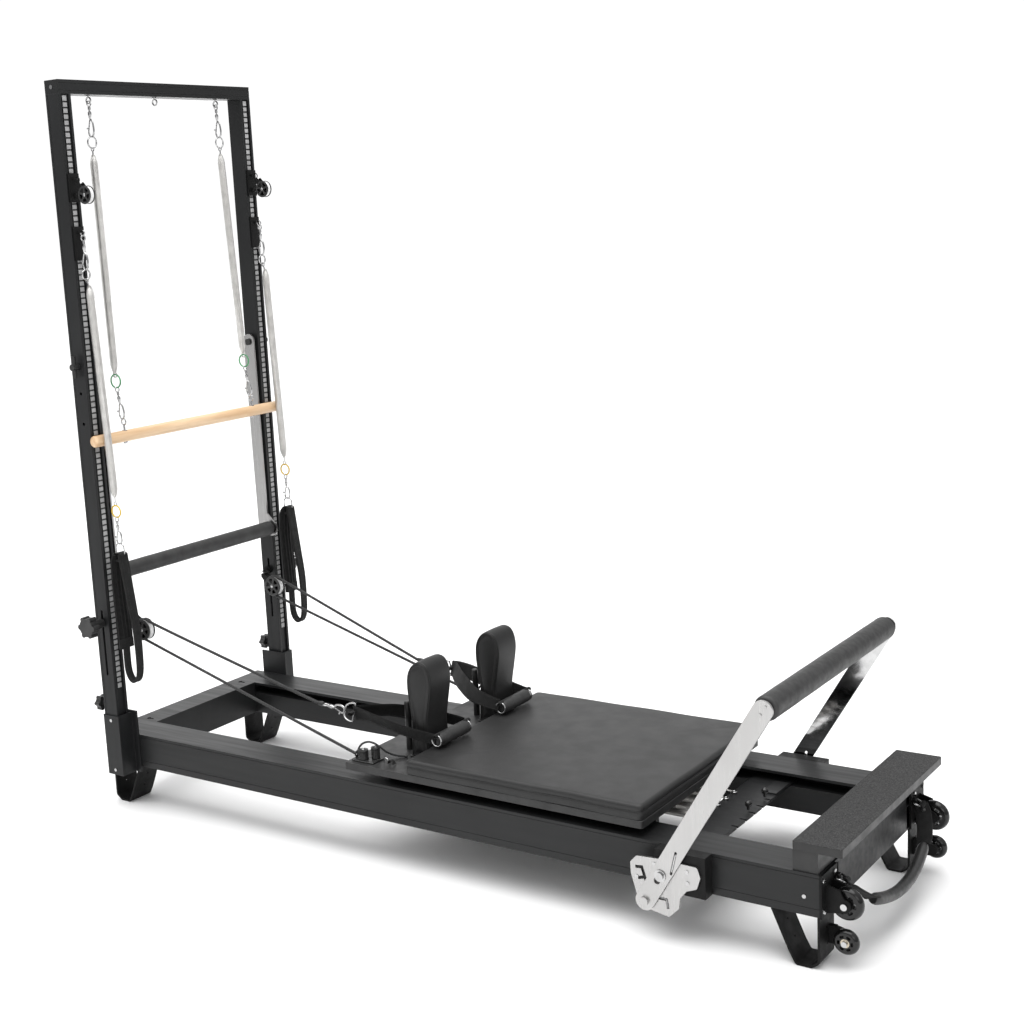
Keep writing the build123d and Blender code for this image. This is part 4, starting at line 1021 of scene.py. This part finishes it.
add_cheeks("tower_pulley_cheeks", "tower_pulley_blocks", TOWER_SHEAVE, 0.0262, 0.0066, 0.0029, 5)
add_cheeks("riser_pulley_cheeks", "frame", RISER_SHEAVE, 0.0335, 0.0092, 0.0036, 6)
add_bearings("large_bearings", "large_wheels", LARGE_WHEEL, ((316.4, 0.0016), (292.6, -0.0016)), 0.0115)
add_bearings("small_bearings", "small_wheels", SMALL_WHEEL, ((324.9, 0.0016), (303.1, -0.0016)), 0.0105)


# ---------------- cushions

def rounded_rectangle(half_x, half_y, corner, per_corner=8, per_side=26):
    """Outline of a rounded rectangle around the origin, anticlockwise."""
    arcs = []
    for sx, sy, first in ((1, 1, 0), (-1, 1, 90), (-1, -1, 180), (1, -1, 270)):
        centre = Vector((sx * (half_x - corner), sy * (half_y - corner)))
        angles = (radians(first + 90 * k / per_corner) for k in range(per_corner + 1))
        arcs.append([centre + corner * Vector((cos(a), sin(a))) for a in angles])
    points = []
    for number, arc in enumerate(arcs):
        goal = arcs[(number + 1) % 4][0]
        points += arc + [arc[-1].lerp(goal, k / per_side) for k in range(1, per_side)]
    return points


# The carriage pad, in metres: its underside, half its size, its boxing's height, top edge and crown.
PAD_BASE = 0.277
PAD_HALF = (0.361, 0.346)
PAD_EDGE = 0.030
PAD_ROUNDING = 0.0105
PAD_CROWN = 0.0026


def add_carriage_cushion():
    """Crowned upholstered pad: base line, side boxing with a seam, a soft top edge and a gentle crown."""
    middle_x, (half_x, half_y) = at(1515, 0, 0).x, PAD_HALF
    # Each step is the inset from the outline and the height above the base, in metres.
    section = [(0.004, 0.0), (0.0012, 0.0012), (0.0006, 0.004)]
    section += [(0.0008 - 0.0009 * sin(pi * k / 6), 0.006 + 0.0024 * k) for k in range(1, 6)]
    section += [(0.0010, 0.0204), (0.0026, 0.0214), (0.0026, 0.0222), (0.0010, 0.0232), (0.0004, 0.0262),
                (0.0003, PAD_EDGE)]
    for a in (pi / 2 * k / 8 for k in range(1, 9)):
        section.append((0.0003 + PAD_ROUNDING * (1 - cos(a)), PAD_EDGE + PAD_ROUNDING * sin(a)))
    rng = random.Random(11)
    waves = [(rng.uniform(0, 6.3), rng.randint(5, 19)) for _ in range(4)]

    def ring_at(inset, height, share=1.0):
        """Ring of the skin; a share below one shrinks it towards the middle of the top."""
        ring = []
        outline = rounded_rectangle(half_x - inset, half_y - inset, max(0.016 - inset * 0.6, 0.004))
        for k, point in enumerate(outline):
            point = point * share
            ripple = 0.00022 * share**4 * sum(sin(2 * pi * k / 140 * n + phase) for phase, n in waves)
            fall = 1 - max(abs(point.x) / half_x, abs(point.y) / half_y) ** 2
            crown = PAD_CROWN * fall if share < 1 else 0.0
            ring.append(Vector((middle_x + point.x, point.y, PAD_BASE + height + crown + ripple)))
        return ring

    rings, lengths = [], []
    travelled, previous = 0.0, section[0]
    for inset, height in section:
        travelled += hypot(inset - previous[0], height - previous[1])
        previous = (inset, height)
        rings.append(ring_at(inset, height))
        lengths.append(travelled)
    for share in (0.985, 0.96, 0.92, 0.86, 0.78, 0.68, 0.56, 0.42, 0.27, 0.12):
        travelled += 0.03
        rings.append(ring_at(*section[-1], share))
        lengths.append(travelled)
    shape = Shape().skin(rings, lengths, 2.8)
    piece = shape.finish("carriage_cushion", [LEATHER], "carriage", "black_leather", "carriage_pad", sharp=50)
    # Piping sewn along the seam of the boxing.
    outline = rounded_rectangle(half_x - 0.0016, half_y - 0.0016, 0.015)
    seam = [Vector((middle_x + q.x, q.y, 0.2988)) for q in outline]
    cord = Shape().tube(seam, 0.0013, 8, closed=True)
    cord.finish("cushion_seam", [LEATHER], "carriage", "black_leather", sharp=60)


def inset_outline(points, distance):
    """Closed outline in the XZ plane moved inwards."""
    following = points[1:] + points[:1]
    area = sum(p.x * q.z - q.x * p.z for p, q in zip(points, following))
    turn = 1 if area > 0 else -1
    result = []
    for i, (point, after) in enumerate(zip(points, following)):
        along = (after - points[i - 1]).normalized()
        result.append(point + Vector((-along.z, 0, along.x)) * turn * distance)
    return result


def add_shoulder_rest(side):
    """Padded shoulder rest: narrow waist, rounded top, piped side edges and a foot plate."""
    name = "shoulder_rest_" + NAMES[side]
    profile = [(1089, 281), (1093, 330), (1095, 380), (1088, 435), (1084, 478), (1087, 515), (1100, 540),
               (1124, 555), (1148, 549), (1162, 524), (1165, 487), (1156, 432), (1147, 380), (1147, 330),
               (1151, 281)]
    outline = smooth_path([at(x, 0, z) for x, z in profile], 5)
    outline += [outline[-1].lerp(outline[0], k / 6) for k in range(1, 6)]
    edge, low, high = 0.0105, 0.120, 0.224
    # Each step is a place across the rest and the inset from the outline there.
    steps = [(low + 0.0010, 0.0120), (low + 0.0004, 0.0085), (low + 0.0008, 0.0062), (low + 0.0022, 0.0048),
             (low + 0.0030, 0.0034)]
    for a in (pi / 2 * k / 5 for k in range(1, 6)):
        steps.append((low + 0.003 + edge * 0.55 * (1 - cos(a)), 0.0034 - 0.0034 * sin(a)))
    mirrored = [(low + high - y, inset) for y, inset in reversed(steps)]
    for share in (k / 10 for k in range(1, 10)):
        steps.append((low + 0.010 + (high - low - 0.020) * share, -0.0012 * sin(pi * share)))
    steps += mirrored
    rings = [[Vector((p.x, y * side, p.z)) for p in inset_outline(outline, inset)] for y, inset in steps]
    size = len(outline)
    rounds = [0.7 * k / size for k in range(size + 1)]
    shape = Shape()
    shape.grid(rings, [y for y, _ in steps], rounds)
    # Side faces: outline rings shrinking towards the middle line and swelling outwards.
    for ring, y, sign in ((rings[0], low, -1), (rings[-1], high, 1)):
        middle = [Vector((at(1122, 0, 0).x, 0, min(max(p.z, 0.315), 0.525))) for p in ring]
        block = [ring]
        for share in (0.85, 0.68, 0.5, 0.3, 0.1):
            level = (y + sign * (0.0048 * (1 - share**2) - 0.0010)) * side
            inner = [m.lerp(p, share) for p, m in zip(ring, middle)]
            block.append([Vector((q.x, level, q.z)) for q in inner])
        start = shape.grid(block, [0, 0.006, 0.012, 0.018, 0.024, 0.03], rounds)
        shape.cap(start + 5 * size, size)
    piece = shape.finish(name + "_cushion", [REST_LEATHER], name, "black_leather", name, sharp=60)

    trim = Shape()
    for y in (low + 0.0012, high - 0.0012):
        seam = [Vector((p.x, y * side, p.z)) for p in inset_outline(outline, 0.0046)]
        trim.tube(seam, 0.0019, 8, closed=True)
    plate, centre = [], at(1119, 172 * side, 0)
    for inset, height in ((0.001, 0.2772), (0, 0.2780), (0, 0.2806), (0.0012, 0.2816)):
        ring = rounded_rectangle(0.036 - inset, 0.054 - inset, 0.006, 4, 4)
        plate.append([Vector((centre.x + q.x, centre.y + q.y, height)) for q in ring])
    size = len(plate[0])
    start = trim.use(1).grid(plate, [0, 0.001, 0.004, 0.005], [0.3 * k / size for k in range(size + 1)])
    trim.cap(start + 3 * size, size)
    trim.finish(name + "_trim", [REST_LEATHER, BLACK_PLASTIC], name, "black_leather", sharp=50)


add_carriage_cushion()
for side in SIDES:
    add_shoulder_rest(side)


# ---------------- finishes of the CAD nodes that show

def dress(material, *names):
    """Gives CAD nodes their finished material."""
    for name in names:
        nodes[name].data.materials.clear()
        nodes[name].data.materials.append(material)


def split_finish(name, second, chosen):
    """Gives some faces of a CAD node a second material, chosen by the face's centre."""
    mesh = nodes[name].data
    mesh.materials.append(second)
    for face in mesh.polygons:
        if chosen(face.center):
            face.material_index = 1


def near_axle(c):
    """Heads of the transport wheels' axle bolts."""
    for (distance, height), outside in ((LARGE_WHEEL, 0.3258), (SMALL_WHEEL, 0.3283)):
        axle = at(distance, 0, height)
        if abs(c.y) > outside and hypot(c.x - axle.x, c.z - axle.z) < 0.0085:
            return True
    return False


# Faces behind this line are the floors of the gaps in the toothed strips; they are painted black as shade in
# the recesses.
RACK_GAP_SHADE_X = at(102.7, 0, 0).x
board_top = max(v.co.z for v in nodes["standing_board"].data.vertices)

dress(ANODISED, "rail_right", "rail_left", "cross_beams", "top_beam", "spring_bar", "carriage_chassis")
dress(POST, "post_right", "post_left", "post_sleeves")
dress(POWDER, "support_legs", "wheel_brackets", "plate_spacers", "riser_pulley_blocks", "upper_carriers",
      "lower_carriers", "tower_pulley_blocks")
dress(BOARD, "carriage_base", "board_riser")
dress(STEEL, "footbar_side_plates", "footbar_arms")
dress(DARK_STEEL, "push_bar_arms")
dress(PLATED, "frame_screws", "footbar_pivots", "footbar_springs")
dress(RACK, "post_racks")
dress(GRIP, "standing_board")
dress(BLACK_PLASTIC, "rope_posts", "upper_star_knobs", "lower_star_knob_right", "lower_star_knob_left",
      "t_handles", "tower_side_wheels", "foot_side_wheels")
dress(GLOSS_BLACK, "spring_knob_right", "spring_knob_left")
dress(WHEEL, "large_wheels", "small_wheels")
dress(NYLON, "tower_sheaves", "riser_sheaves")
split_finish("wheel_brackets", PLATED, near_axle)
# The floors of the racks' gaps get black plastic: painted shade in the recesses between the teeth.
split_finish("post_racks", BLACK_PLASTIC, lambda c: c.x < RACK_GAP_SHADE_X)
split_finish("standing_board", BOARD, lambda c: c.z < board_top - 0.0015)
split_finish("footbar_arms", POLISHED, lambda c: c.y > 0)


# ---------------- floor

bpy.ops.mesh.primitive_plane_add(size=60, location=(0, 0, 0))
floor = bpy.context.object
floor.name = "floor"
floor.data.materials.append(FLOOR)
